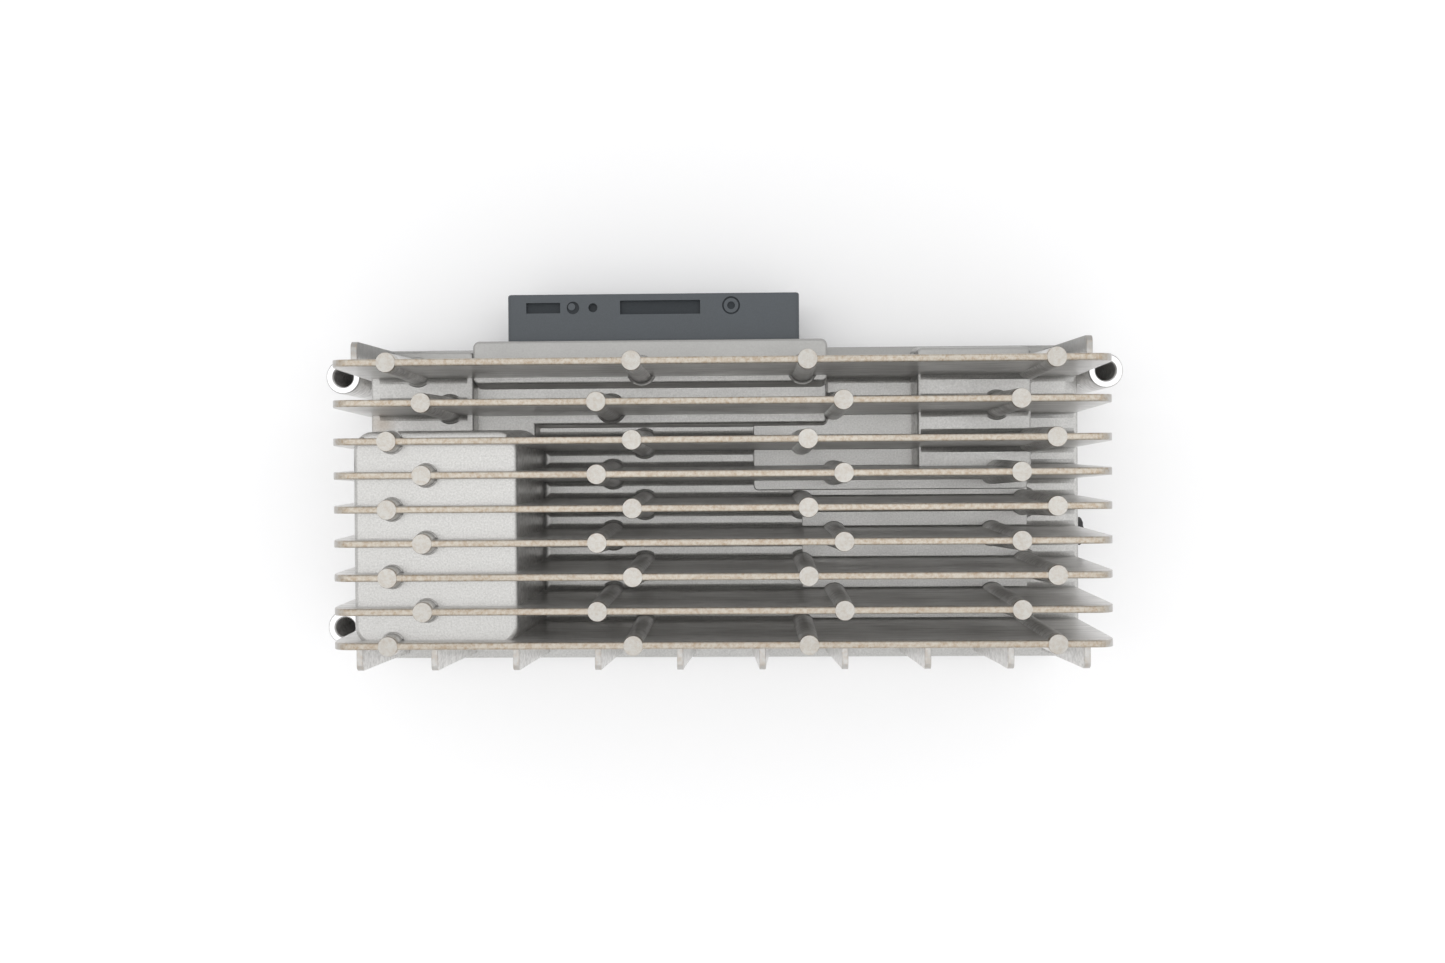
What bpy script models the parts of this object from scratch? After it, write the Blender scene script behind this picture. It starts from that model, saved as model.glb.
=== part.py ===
"""Sealed DC-AC inverter module: a die-cast finned housing over one circuit board.

Metres, +Z up. The underside lies in the plane z = 0, the fins point up, and the
header faces +Y. The origin is the centre of the fin field, on the underside.
"""
import math

import bmesh
import bpy
from mathutils import Vector

MM = 0.001

# ---- driving dimensions ------------------------------------------------------
GAP = 0.3 * MM                    # between pieces that touch
FIT = 0.5 * MM                    # round a piece that passes through a wall
WALL = 3.0 * MM                   # casting wall
HAIR = 0.01 * MM                  # keeps faces of joined solids from coinciding

# fin field
FIN_COUNT = 9
FIN_LENGTH = 236.8 * MM           # at the tips
FIN_HEIGHT = 45.5 * MM            # tips above the floor of the casting
FIN_TIP = 2.1 * MM                # thickness at the tip
FIN_ROOT = 4.7 * MM               # thickness at the floor
FIN_CORNER = 5.5 * MM             # radius of a fin's upper corners
FIN_FOOT_INSET = 0.4 * MM         # feet of the fins inside the body's sides
FIN_PITCH = 10.34 * MM            # the six front gaps
REAR_PITCHES = (12.24 * MM, 11.6 * MM)
FIRST_FIN = 42.94 * MM            # rearmost fin, from the origin

# ejector posts cast on the fins
POST_TIP_RADIUS = 3.05 * MM
POST_ROOT_RADIUS = 4.2 * MM
ODD_ROW_POSTS = (26.5 * MM, 100.8 * MM)
EVEN_ROW_POSTS = (37.2 * MM, 90.2 * MM)
POST_SIDES = 12

# body of the casting
BODY_HEIGHT = 26.5 * MM           # floor above the underside
END_RIM = 1.1 * MM                # body past the fins' ends
REAR_RIM = 8.26 * MM              # body past the rearmost fin
FRONT_RIM = 10.6 * MM             # body past the front fin
BODY_DRAFT = 0.8 * MM             # widening of the body towards the underside
BODY_CORNER = 5.0 * MM
PLATEAU_RISE = 9.5 * MM           # rear plateaus above the floor
PLATEAU_LENGTH = 37.5 * MM        # right plateau, along the fins
PLATEAU_INSET = 18.0 * MM         # right plateau from the body's right side
STRIP_RISE = 4.5 * MM             # strip in front of the header
STRIP_OVERHANG = 5.4 * MM         # strip's front edge before the second fin
STEP_DRAFT = 1.2 * MM             # inward lean of the raised areas
STEP_CORNER = 1.5 * MM

# tower over the tall parts
TOWER_DROP = 5.5 * MM             # its top below the fin tips
TOWER_INSET = 6.8 * MM            # from the body's left side
TOWER_REAR = 3.2 * MM             # behind the third fin
TOWER_CORNER = 4.0 * MM
TOWER_DRAFT = 1.6 * MM

# ribs on the front and at the rear corners
RIB_PITCH = 24.9 * MM
RIB_ROUND = 2.0 * MM              # cut off their top outer corners
RIB_TIP = 1.9 * MM
RIB_ROOT = 3.4 * MM
RIB_DROP = 2.0 * MM               # top below the fin tips
FRONT_RIB_REACH = 7.1 * MM        # past the front fin, at the top
REAR_RIB_REACH = 6.2 * MM         # past the rear fin, at the top
RIB_SLOPE = 2.6 * MM              # further at the foot
CORNER_RIB_INSET = 8.5 * MM       # rear corner ribs from the body's sides
FRONT_RIB_INSET = 9.5 * MM        # outermost front ribs from the body's sides

# mounting tubes
TUBE_OUT = 7.0 * MM               # centre past the body's side
TUBE_Y = 41.8 * MM
TUBE_RADIUS = 5.7 * MM
TUBE_HOLE_RADIUS = 3.3 * MM
TUBE_HEIGHT = 34.0 * MM
TUBE_SIDES = 24
WEB_WIDTH = 7.0 * MM
WEB_HEIGHT = 20.0 * MM

# cover, gasket and their screws
COVER_THICKNESS = 2.0 * MM
COVER_INSET = 0.4 * MM
GASKET_THICKNESS = 0.8 * MM
GASKET_WIDTH = 1.8 * MM
SCREW_RADIUS = 1.5 * MM
SCREW_HEAD_RADIUS = 2.8 * MM
SCREW_LENGTH = 10.0 * MM
SCREW_BOSS_RADIUS = 3.7 * MM
SCREW_EDGE = 7.5 * MM             # cover screws from the body's outline
SCREW_SINK = 0.05 * MM            # their heads below the cover's face
SCREW_HEAD_EDGE = 0.35 * MM       # straight rim of a countersunk head
PAN_HEAD_HEIGHT = 1.8 * MM
PAN_HEAD_EDGE = 0.5 * MM
SCREW_SIDES = 12

# circuit board
BOARD_THICKNESS = 1.6 * MM
BOARD_BOTTOM = 5.0 * MM
BOARD_MARGIN = 12.5 * MM          # inside the body's ends
BOARD_REAR_MARGIN = 11.5 * MM
BOARD_FRONT_MARGIN = 12.1 * MM
STANDOFF_RADIUS = 3.2 * MM
STANDOFF_EDGE = 4.2 * MM          # from the board's edges
STANDOFF_MIDDLE_Y = 12.0 * MM     # the standoff beside the tower
BOARD_CORNER = 2.0 * MM
BOARD_SCREW_LENGTH = 7.0 * MM

# header
HEADER_WIDTH = 97.4 * MM
HEADER_HEIGHT = 25.0 * MM
HEADER_X = -22.9 * MM             # its centre
HEADER_BOTTOM = 6.0 * MM
HEADER_REACH = 16.0 * MM          # past the collar
HEADER_WALL = 2.0 * MM
HEADER_CORNER = 0.8 * MM
HEADER_WEB = 3.0 * MM             # between the two sockets
HEADER_FLOOR = 5.0 * MM           # solid part that carries the terminals
FLANGE_THICKNESS = 4.0 * MM
FLANGE_SIDE = 5.6 * MM
FLANGE_LIP = 1.6 * MM             # flange above and below the header
FLANGE_SCREW_REACH = 3.2 * MM     # its screws beside the header
SEAL_THICKNESS = 1.6 * MM
COLLAR_SIDE = 9.0 * MM            # collar past the header at each side
COLLAR_REACH = 1.8 * MM           # collar past the body's rear
COLLAR_DEPTH = 15.5 * MM
COLLAR_WALL = 3.6 * MM
COLLAR_SKIN = 1.6 * MM            # metal past the ends of the header's screws
COLLAR_RISE = 0.5 * MM            # collar above the plateaus
COLLAR_CORNER = 3.0 * MM
COLLAR_DRAFT = 0.6 * MM
POWER_SOCKET_WIDTH = 37.0 * MM
SIGNAL_COLUMNS = 12
SIGNAL_PITCH = 4.0 * MM
SIGNAL_PIN = 1.0 * MM
SIGNAL_ROWS = (14.0 * MM, 22.0 * MM)
BLADE_COUNT = 4
BLADE_PITCH = 8.5 * MM
BLADE_WIDTH = 6.3 * MM
BLADE_THICKNESS = 1.0 * MM
TERMINAL_REACH = 9.0 * MM         # into the sockets
PIN_SETBACK = 2.0 * MM            # upright legs from the board's rear edge
PIN_ROW_STEP = 3.0 * MM           # further in for the upper row
WAFER_MARGIN = 1.6 * MM
WAFER_SINK = 0.5 * MM             # wafers behind the faces of the header's floor

# vent in the right side wall
VENT_Y = -12.0 * MM
VENT_RADIUS = 5.0 * MM
VENT_THREAD_RADIUS = 3.0 * MM
VENT_HEAD = 1.8 * MM
VENT_EDGE = 0.5 * MM
VENT_SEAL = 0.8 * MM
VENT_INNER_END = 1.5 * MM         # past the wall, inside

# power stage
PEDESTAL_LENGTH = 66.0 * MM
PEDESTAL_DEPTH = 20.0 * MM
PEDESTAL_START = 10.0 * MM        # from the tower
PEDESTAL_SPACE = 14.0 * MM        # between the two
PEDESTAL_EDGE = 12.0 * MM         # from the board's front edge
PAD_MARGIN = 1.0 * MM             # pads inside the pedestals' edges
PAD_THICKNESS = 1.0 * MM
TRANSISTOR_SIZE = (13.5 * MM, 17.0 * MM, 4.6 * MM)
TRANSISTOR_DRAFT = 0.3 * MM
TRANSISTOR_COUNT = 3

# tall parts under the tower
CAN_RADIUS = 6.2 * MM
CAN_COUNT = 3
CAN_SPACE = 0.7 * MM              # between neighbours
CAN_CLEARANCE = 4.0 * MM          # their tops under the tower's ceiling
CAN_EDGE = 0.5 * MM               # depth of the groove and the top's chamfer
CAN_SIDES = 16
TOWER_AIR = 1.0 * MM              # between the tower's walls and what is in it
SMALL_CAN_RADIUS = 4.8 * MM
SMALL_CAN_COUNT = 3
SMALL_CAN_PITCH = 12.0 * MM
SMALL_CAN_START = 44.0 * MM       # first one from the collar's left end
SMALL_CAN_CLEARANCE = 1.5 * MM
FILM_CLEARANCE = 2.0 * MM         # to its pocket and to the standoff beside it
WINDING_THICKNESS = 4.2 * MM
CORE_LIFT = 3.0 * MM              # transformer above its seat
CORE_CLEARANCE = 6.0 * MM         # under the tower's ceiling
CORE_YOKE = 8.1 * MM
CORE_LEG = 5.9 * MM               # outer legs; the middle one is twice as thick
CORE_SPACE = 2.0 * MM             # to the bus capacitors
BOBBIN_WALL = 1.2 * MM
COIL_CORNER = 1.0 * MM

# ring chokes
WIRE = 1.1 * MM
RING_SIDES = 20
FILTER_RING = (10.5 * MM, 6.0 * MM, 13.0 * MM)     # outer and inner radius, height
FILTER_RING_FRONT = 6.0 * MM      # its centre before the second fin
FILTER_ARC = math.radians(110)    # covered by each of its two windings
OUTPUT_RING = (12.0 * MM, 6.5 * MM)                # outer and inner radius
OUTPUT_RING_X = 32.0 * MM         # its centre from the fuse
OUTPUT_RING_SPACE = 2.2 * MM      # to the pedestal's rear edge
OUTPUT_ARC = math.radians(320)

# control parts
CHIP_WIDTH = 14.0 * MM
CHIP_HEIGHT = 1.6 * MM
CHIP_X = 1.5 * MM                 # from the middle of the last input capacitor
CHIP_Y = 12.5 * MM                # in front of it
DRIVER_SIZE = (5.0 * MM, 4.0 * MM, 1.7 * MM)
DRIVER_PITCH = 11.0 * MM
DRIVER_X = 20.7 * MM              # nearer driver from the middle of the output choke
DRIVER_SPACE = 5.0 * MM           # behind the pedestals
FUSE_RADIUS = 2.5 * MM
FUSE_LENGTH = 20.0 * MM
FUSE_LIFT = 2.7 * MM
FUSE_X = 13.5 * MM                # from the middle of the last input capacitor
FUSE_Y = 2.5 * MM                 # in front of it
CLIP_THICKNESS = 0.6 * MM
CLIP_LENGTH = 4.0 * MM
CLIP_INSET = 1.0 * MM             # from the fuse's ends
SHUNT_SIZE = (16.0 * MM, 6.0 * MM, 5.0 * MM)
SHUNT_THICKNESS = 1.0 * MM
SHUNT_X = 18.2 * MM               # from the tower
SHUNT_Y = 11.4 * MM               # behind the pedestals


# ---- sizes worked out from them ------------------------------------------------
def fin_rows():
    rows = [FIRST_FIN]
    for pitch in REAR_PITCHES:
        rows.append(rows[-1] - pitch)
    while len(rows) < FIN_COUNT:
        rows.append(rows[-1] - FIN_PITCH)
    return rows


ROWS = fin_rows()
HALF = FIN_LENGTH / 2 + END_RIM
REAR = ROWS[0] + REAR_RIM
FRONT = ROWS[-1] - FRONT_RIM
TOP = BODY_HEIGHT + FIN_HEIGHT
CEILING = BODY_HEIGHT - WALL
RIM = COVER_THICKNESS + GASKET_THICKNESS + 2 * GAP
PLATEAU = BODY_HEIGHT + PLATEAU_RISE
STRIP = BODY_HEIGHT + STRIP_RISE

TOWER_SIDE = WALL + TOWER_DRAFT + TOWER_AIR
TOWER_WIDTH = CAN_COUNT * (2 * CAN_RADIUS + CAN_SPACE) + 2 * TOWER_SIDE
TOWER_LEFT = -HALF + TOWER_INSET
TOWER_RIGHT = TOWER_LEFT + TOWER_WIDTH
TOWER_BACK = ROWS[2] + TOWER_REAR
TOWER_FRONT = ROWS[-1] + FIN_TIP / 2
TOWER_TOP = TOP - TOWER_DROP
TOWER_CEILING = TOWER_TOP - WALL

BOARD_TOP = BOARD_BOTTOM + BOARD_THICKNESS
SEAT = BOARD_TOP + GAP
BOARD_HALF = HALF - BOARD_MARGIN
BOARD_REAR = REAR - BOARD_REAR_MARGIN
BOARD_FRONT = FRONT + BOARD_FRONT_MARGIN

COLLAR_LEFT = HEADER_X - HEADER_WIDTH / 2 - COLLAR_SIDE
COLLAR_RIGHT = HEADER_X + HEADER_WIDTH / 2 + COLLAR_SIDE
COLLAR_REAR = REAR + COLLAR_REACH
COLLAR_FRONT = COLLAR_REAR - COLLAR_DEPTH
COLLAR_TOP = PLATEAU + COLLAR_RISE
COLLAR_INNER = COLLAR_REAR - COLLAR_WALL
HEADER_LEFT = HEADER_X - HEADER_WIDTH / 2
HEADER_RIGHT = HEADER_X + HEADER_WIDTH / 2
HEADER_TOP = HEADER_BOTTOM + HEADER_HEIGHT
HEADER_END = COLLAR_REAR + HEADER_REACH
HEADER_MIDDLE = HEADER_BOTTOM + HEADER_HEIGHT / 2
SEAL_SIDE = FLANGE_SCREW_REACH - SCREW_RADIUS - GAP
SCREW_END = COLLAR_REAR - COLLAR_SKIN
FLANGE_REAR = COLLAR_INNER - SEAL_THICKNESS - 2 * GAP
FLANGE_FRONT = FLANGE_REAR - FLANGE_THICKNESS
SOCKET_FLOOR = FLANGE_FRONT + FLANGE_THICKNESS + HEADER_FLOOR

PEDESTAL_BOTTOM = SEAT + TRANSISTOR_SIZE[2] + PAD_THICKNESS + 2 * GAP
STRIP_FRONT = ROWS[1] - STRIP_OVERHANG


# ---- mesh helpers ---------------------------------------------------------------
def clear_scene():
    for item in list(bpy.data.objects):
        bpy.data.objects.remove(item)


def material(name, colour, roughness, metallic=0.0):
    made = bpy.data.materials.new(name)
    made.use_nodes = True
    shader = made.node_tree.nodes["Principled BSDF"]
    shader.inputs["Base Color"].default_value = (*colour, 1.0)
    shader.inputs["Roughness"].default_value = roughness
    shader.inputs["Metallic"].default_value = metallic
    return made


def to_object(name, mesh_data, surface=None):
    """Turns a bmesh into an object of the scene, faces out, round faces smooth."""
    bmesh.ops.recalc_face_normals(mesh_data, faces=mesh_data.faces)
    mesh = bpy.data.meshes.new(name)
    mesh_data.to_mesh(mesh)
    mesh_data.free()
    made = bpy.data.objects.new(name, mesh)
    bpy.context.scene.collection.objects.link(made)
    if surface is not None:
        finish(made, surface)
    return made


def finish(made, surface):
    made.data.materials.clear()
    made.data.materials.append(surface)
    made.data.shade_smooth()
    made.data.set_sharp_from_angle(angle=math.radians(35))


def loft(target, rings):
    """Closed solid through rings of equal length, each a list of Vectors."""
    rows = [[target.verts.new(point) for point in ring] for ring in rings]
    count = len(rows[0])
    for lower, upper in zip(rows, rows[1:]):
        for index in range(count):
            following = (index + 1) % count
            target.faces.new((lower[index], lower[following],
                              upper[following], upper[index]))
    target.faces.new(list(reversed(rows[0])))
    target.faces.new(rows[-1])


def corner_arc(centre, radius, start, steps):
    """Points of a quarter circle, counter-clockwise from the angle start."""
    angles = [start + math.pi / 2 * step / steps for step in range(steps + 1)]
    return [(centre[0] + radius * math.cos(angle), centre[1] + radius * math.sin(angle))
            for angle in angles]


def outline(left, right, front, rear, radius=0.0, steps=3):
    """Rectangle in plan, counter-clockwise, with round corners if asked."""
    if radius <= 0.0:
        return [(left, front), (right, front), (right, rear), (left, rear)]
    points = corner_arc((left + radius, front + radius), radius, math.pi, steps)
    points += corner_arc((right - radius, front + radius), radius, math.pi * 1.5, steps)
    points += corner_arc((right - radius, rear - radius), radius, 0.0, steps)
    points += corner_arc((left + radius, rear - radius), radius, math.pi / 2, steps)
    return points


def flat_ring(points, height):
    return [Vector((x, y, height)) for x, y in points]


def add_slab(target, left, right, front, rear, bottom, top, radius=0.0, lean=0.0):
    """Box with upright round corners; its top is drawn in by lean."""
    lower = outline(left, right, front, rear, radius)
    upper = outline(left + lean, right - lean, front + lean, rear - lean, radius)
    loft(target, [flat_ring(lower, bottom), flat_ring(upper, top)])


def add_round(target, centre, levels, sides, axis="Z"):
    """Turned solid about an axis through centre; levels are (distance, radius)."""
    rings = []
    for distance, radius in levels:
        ring = []
        for side in range(sides):
            angle = 2 * math.pi * (side + 0.5) / sides
            across = (radius * math.cos(angle), radius * math.sin(angle))
            ring.append(place_round(centre, across, distance, axis))
        rings.append(ring)
    loft(target, rings)


def place_round(centre, across, distance, axis):
    if axis == "Z":
        return Vector((centre[0] + across[0], centre[1] + across[1], centre[2] + distance))
    if axis == "Y":
        return Vector((centre[0] + across[1], centre[1] + distance, centre[2] + across[0]))
    return Vector((centre[0] + distance, centre[1] + across[0], centre[2] + across[1]))


def slab(name, left, right, front, rear, bottom, top, radius=0.0, lean=0.0, surface=None):
    data = bmesh.new()
    add_slab(data, left, right, front, rear, bottom, top, radius, lean)
    return to_object(name, data, surface)


def copies(name, data, places, surface):
    """Numbered objects that share one mesh, one at each place."""
    first = to_object(f"{name}_1", data, surface)
    first.location = places[0]
    for number, place in enumerate(places[1:], start=2):
        made = bpy.data.objects.new(f"{name}_{number}", first.data)
        made.location = place
        bpy.context.scene.collection.objects.link(made)


def boolean(target, tool, operation):
    """Applies an exact Boolean and removes the tool."""
    modifier = target.modifiers.new("cut", "BOOLEAN")
    modifier.operation = operation
    modifier.solver = "EXACT"
    modifier.object = tool
    graph = bpy.context.evaluated_depsgraph_get()
    result = bpy.data.meshes.new_from_object(target.evaluated_get(graph))
    target.modifiers.remove(modifier)
    former = target.data
    target.data = result
    result.name = former.name
    bpy.data.meshes.remove(former)
    bpy.data.objects.remove(tool)


def tidy_mesh(target):
    """Dissolves the needless edges that the Booleans leave on flat faces."""
    data = bmesh.new()
    data.from_mesh(target.data)
    bmesh.ops.remove_doubles(data, verts=data.verts, dist=0.00001)
    bmesh.ops.dissolve_limit(data, angle_limit=math.radians(0.5), verts=data.verts,
                             edges=data.edges)
    data.to_mesh(target.data)
    data.free()


# ---- casting ----------------------------------------------------------------------
def fin_group():
    """Fins that thin towards the tip, with round upper corners."""
    data = bmesh.new()
    half_tip = FIN_LENGTH / 2
    half_root = HALF - FIN_FOOT_INSET
    bottom = BODY_HEIGHT - WALL / 2
    left_corner = corner_arc((-half_tip + FIN_CORNER, TOP - FIN_CORNER), FIN_CORNER,
                             math.pi / 2, 3)
    right_corner = corner_arc((half_tip - FIN_CORNER, TOP - FIN_CORNER), FIN_CORNER, 0.0, 3)
    profile = [(-half_root, bottom), (half_root, bottom)] + right_corner + left_corner
    for row in ROWS:
        rings = []
        for side in (-1, 1):
            ring = [Vector((x, row + side * fin_half_width(z), z)) for x, z in profile]
            rings.append(ring)
        loft(data, rings)
    return to_object("fins", data)


def fin_half_width(height):
    """Half of a fin's thickness at a height above the underside."""
    share = (TOP - height) / FIN_HEIGHT
    return (FIN_TIP + (FIN_ROOT - FIN_TIP) * share) / 2


def post_places():
    places = []
    for index, row in enumerate(ROWS):
        offsets = ODD_ROW_POSTS if index % 2 == 0 else EVEN_ROW_POSTS
        for offset in offsets:
            places += [(-offset, row), (offset, row)]
    return places


def post_group():
    data = bmesh.new()
    bottom = BODY_HEIGHT - WALL / 3
    for x, y in post_places():
        levels = [(bottom, POST_ROOT_RADIUS), (TOP, POST_TIP_RADIUS)]
        add_round(data, (x, y, 0.0), levels, POST_SIDES)
    return to_object("posts", data)


def add_rib(target, x, inner, outer, slope, bottom):
    """Upright rib along Y, from inner to outer, thinner at the top."""
    top = TOP - RIB_DROP
    direction = 1 if outer > inner else -1
    profile = [(inner, bottom), (outer + direction * slope, bottom),
               (outer, top - RIB_ROUND), (outer - direction * RIB_ROUND, top), (inner, top)]
    height = top - bottom
    rings = []
    for side in (-1, 1):
        ring = []
        for y, z in profile:
            share = (top - z) / height
            half = (RIB_TIP + (RIB_ROOT - RIB_TIP) * share) / 2
            ring.append(Vector((x + side * half, y, z)))
        rings.append(ring)
    loft(target, rings)


def rib_places():
    """Front ribs at an even pitch from the middle, and one near each end."""
    end = HALF - FRONT_RIB_INSET
    inner = math.ceil(end / RIB_PITCH - 0.5)
    offsets = [(index + 0.5) * RIB_PITCH for index in range(inner)] + [end]
    return [side * offset for side in (-1, 1) for offset in offsets]


def rib_group():
    data = bmesh.new()
    bottom = BODY_HEIGHT - WALL / 4
    for x in rib_places():
        add_rib(data, x, ROWS[-1], ROWS[-1] - FRONT_RIB_REACH, RIB_SLOPE, bottom)
    corner = HALF - CORNER_RIB_INSET
    for x in (-corner, corner):
        add_rib(data, x, ROWS[0], ROWS[0] + REAR_RIB_REACH, RIB_SLOPE, bottom)
    return to_object("ribs", data)


def tube_places():
    x = HALF + TUBE_OUT
    return [(-x, TUBE_Y), (x, TUBE_Y), (-x, -TUBE_Y)]


def tube_group():
    data = bmesh.new()
    for x, y in tube_places():
        levels = [(0.0, TUBE_RADIUS), (TUBE_HEIGHT, TUBE_RADIUS)]
        add_round(data, (x, y, 0.0), levels, TUBE_SIDES)
    return to_object("tubes", data)


def web_group():
    data = bmesh.new()
    for x, y in tube_places():
        side = 1 if x > 0 else -1
        ends = sorted((x, side * (HALF - WALL / 2)))
        add_slab(data, ends[0], ends[1], y - WEB_WIDTH / 2, y + WEB_WIDTH / 2, RIM, WEB_HEIGHT)
    return to_object("webs", data)


def cover_screw_places():
    """Round the rim, clear of the header at the rear."""
    end = HALF - SCREW_EDGE
    front = FRONT + SCREW_EDGE
    rear = REAR - SCREW_EDGE
    places = [(-end, front), (-end / 3, front), (end / 3, front), (end, front)]
    places += [(end, rear), (COLLAR_RIGHT + SCREW_BOSS_RADIUS + WALL, rear)]
    places += [(COLLAR_LEFT - SCREW_BOSS_RADIUS - WALL, rear), (-end, rear)]
    return places


def standoff_places():
    """Round the edge of the board and between its parts."""
    right = BOARD_HALF - STANDOFF_EDGE
    front = BOARD_FRONT + STANDOFF_EDGE
    rear = BOARD_REAR - STANDOFF_EDGE
    left = TOWER_RIGHT + STANDOFF_RADIUS + WALL / 2
    return [(left, front), (right, front), (right, rear), (COLLAR_RIGHT + WALL / 3, rear),
            (left, STANDOFF_MIDDLE_Y), (-right, rear)]


def pockets():
    """Left, right, front, rear and top of the hollow under each raised area."""
    right_ends = right_plateau_ends()
    collar = (COLLAR_LEFT + WALL, COLLAR_RIGHT - WALL)
    return {
        "left": (-HALF + 2 * WALL, COLLAR_LEFT - WALL, TOWER_BACK + WALL, REAR - 2 * WALL,
                 PLATEAU - WALL),
        "right": (right_ends[0] + WALL, right_ends[1] - WALL, ROWS[3] + 2 * WALL,
                  REAR - 2 * WALL, PLATEAU - WALL),
        "strip": (*collar, STRIP_FRONT + WALL, COLLAR_FRONT + 2 * WALL, STRIP - WALL),
        "collar": (*collar, COLLAR_FRONT + WALL, COLLAR_INNER, COLLAR_TOP - WALL)}


def ceiling_over(x, y, radius):
    """Height of the ceiling where a boss of this radius rises into it."""
    height = CEILING
    for left, right, front, rear, top in pockets().values():
        if left < x + radius and x - radius < right and front < y + radius and y - radius < rear:
            height = max(height, top)
    return height


def cavity():
    """The hollow of the casting, with pockets under each raised area."""
    deep = -WALL
    hollow = slab("cavity", -HALF + WALL, HALF - WALL, FRONT + WALL, REAR - WALL, deep, CEILING,
                  radius=BODY_CORNER - WALL / 2)
    start = CEILING - 2 * WALL
    tower = slab("tower_pocket", TOWER_LEFT + WALL, TOWER_RIGHT - WALL, TOWER_FRONT + WALL,
                 TOWER_BACK - WALL, start, TOWER_CEILING, lean=TOWER_DRAFT / 2)
    boolean(hollow, tower, "UNION")
    for name, (left, right, front, rear, top) in pockets().items():
        bottom = deep if name == "collar" else start
        boolean(hollow, slab(name, left, right, front, rear, bottom, top), "UNION")
    return hollow


def right_plateau_ends():
    right = HALF - PLATEAU_INSET
    return right - PLATEAU_LENGTH, right


def pedestal_places():
    """Left ends of the two pedestals that draw heat from the transistors."""
    first = TOWER_RIGHT + PEDESTAL_START
    second = first + PEDESTAL_LENGTH + PEDESTAL_SPACE
    return [first, second]


def pedestal_rows():
    front = BOARD_FRONT + PEDESTAL_EDGE
    return front, front + PEDESTAL_DEPTH


def housing(surface):
    body = bmesh.new()
    lower = outline(-HALF - BODY_DRAFT, HALF + BODY_DRAFT, FRONT - BODY_DRAFT, REAR + BODY_DRAFT,
                    BODY_CORNER)
    upper = outline(-HALF, HALF, FRONT, REAR, BODY_CORNER)
    loft(body, [flat_ring(lower, RIM), flat_ring(upper, BODY_HEIGHT)])
    casting = to_object("heat_sink_housing", body)

    start = BODY_HEIGHT - WALL
    ends = right_plateau_ends()
    raised = [
        slab("left_plateau", -HALF + WALL, COLLAR_LEFT, TOWER_BACK - 2 * WALL,
             REAR - WALL / 2, start, PLATEAU, STEP_CORNER, STEP_DRAFT),
        slab("right_plateau", ends[0], ends[1], ROWS[3], REAR - WALL / 2, start, PLATEAU,
             STEP_CORNER, STEP_DRAFT),
        slab("strip", COLLAR_LEFT - WALL, COLLAR_RIGHT, STRIP_FRONT, COLLAR_FRONT + WALL, start,
             STRIP, STEP_CORNER, STEP_DRAFT),
        slab("collar", COLLAR_LEFT, COLLAR_RIGHT, COLLAR_FRONT, COLLAR_REAR, RIM,
             COLLAR_TOP, COLLAR_CORNER, COLLAR_DRAFT),
        slab("tower", TOWER_LEFT, TOWER_RIGHT, TOWER_FRONT - WALL / 2, TOWER_BACK, start,
             TOWER_TOP, TOWER_CORNER, TOWER_DRAFT)]
    for piece in raised:
        boolean(casting, piece, "UNION")
    for group in (fin_group(), post_group(), rib_group(), web_group(), tube_group()):
        boolean(casting, group, "UNION")
    boolean(casting, cavity(), "DIFFERENCE")
    add_inner_bosses(casting)
    cut_holes(casting)
    tidy_mesh(casting)
    finish(casting, surface)
    return casting


def add_inner_bosses(casting):
    """Screw bosses, board standoffs and transistor pedestals under the ceiling."""
    bosses = bmesh.new()
    for x, y in cover_screw_places():
        top = ceiling_over(x, y, SCREW_BOSS_RADIUS) + WALL / 2
        add_round(bosses, (x, y, 0.0), [(RIM, SCREW_BOSS_RADIUS), (top, SCREW_BOSS_RADIUS)],
                  POST_SIDES)
    boolean(casting, to_object("screw_bosses", bosses), "UNION")
    stands = bmesh.new()
    for x, y in standoff_places():
        top = ceiling_over(x, y, STANDOFF_RADIUS) + WALL / 2
        add_round(stands, (x, y, 0.0), [(SEAT, STANDOFF_RADIUS), (top, STANDOFF_RADIUS)],
                  POST_SIDES)
    front, rear = pedestal_rows()
    for left in pedestal_places():
        add_slab(stands, left, left + PEDESTAL_LENGTH, front, rear, PEDESTAL_BOTTOM,
                 CEILING + WALL / 2, STEP_CORNER)
    boolean(casting, to_object("standoffs", stands), "UNION")


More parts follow.
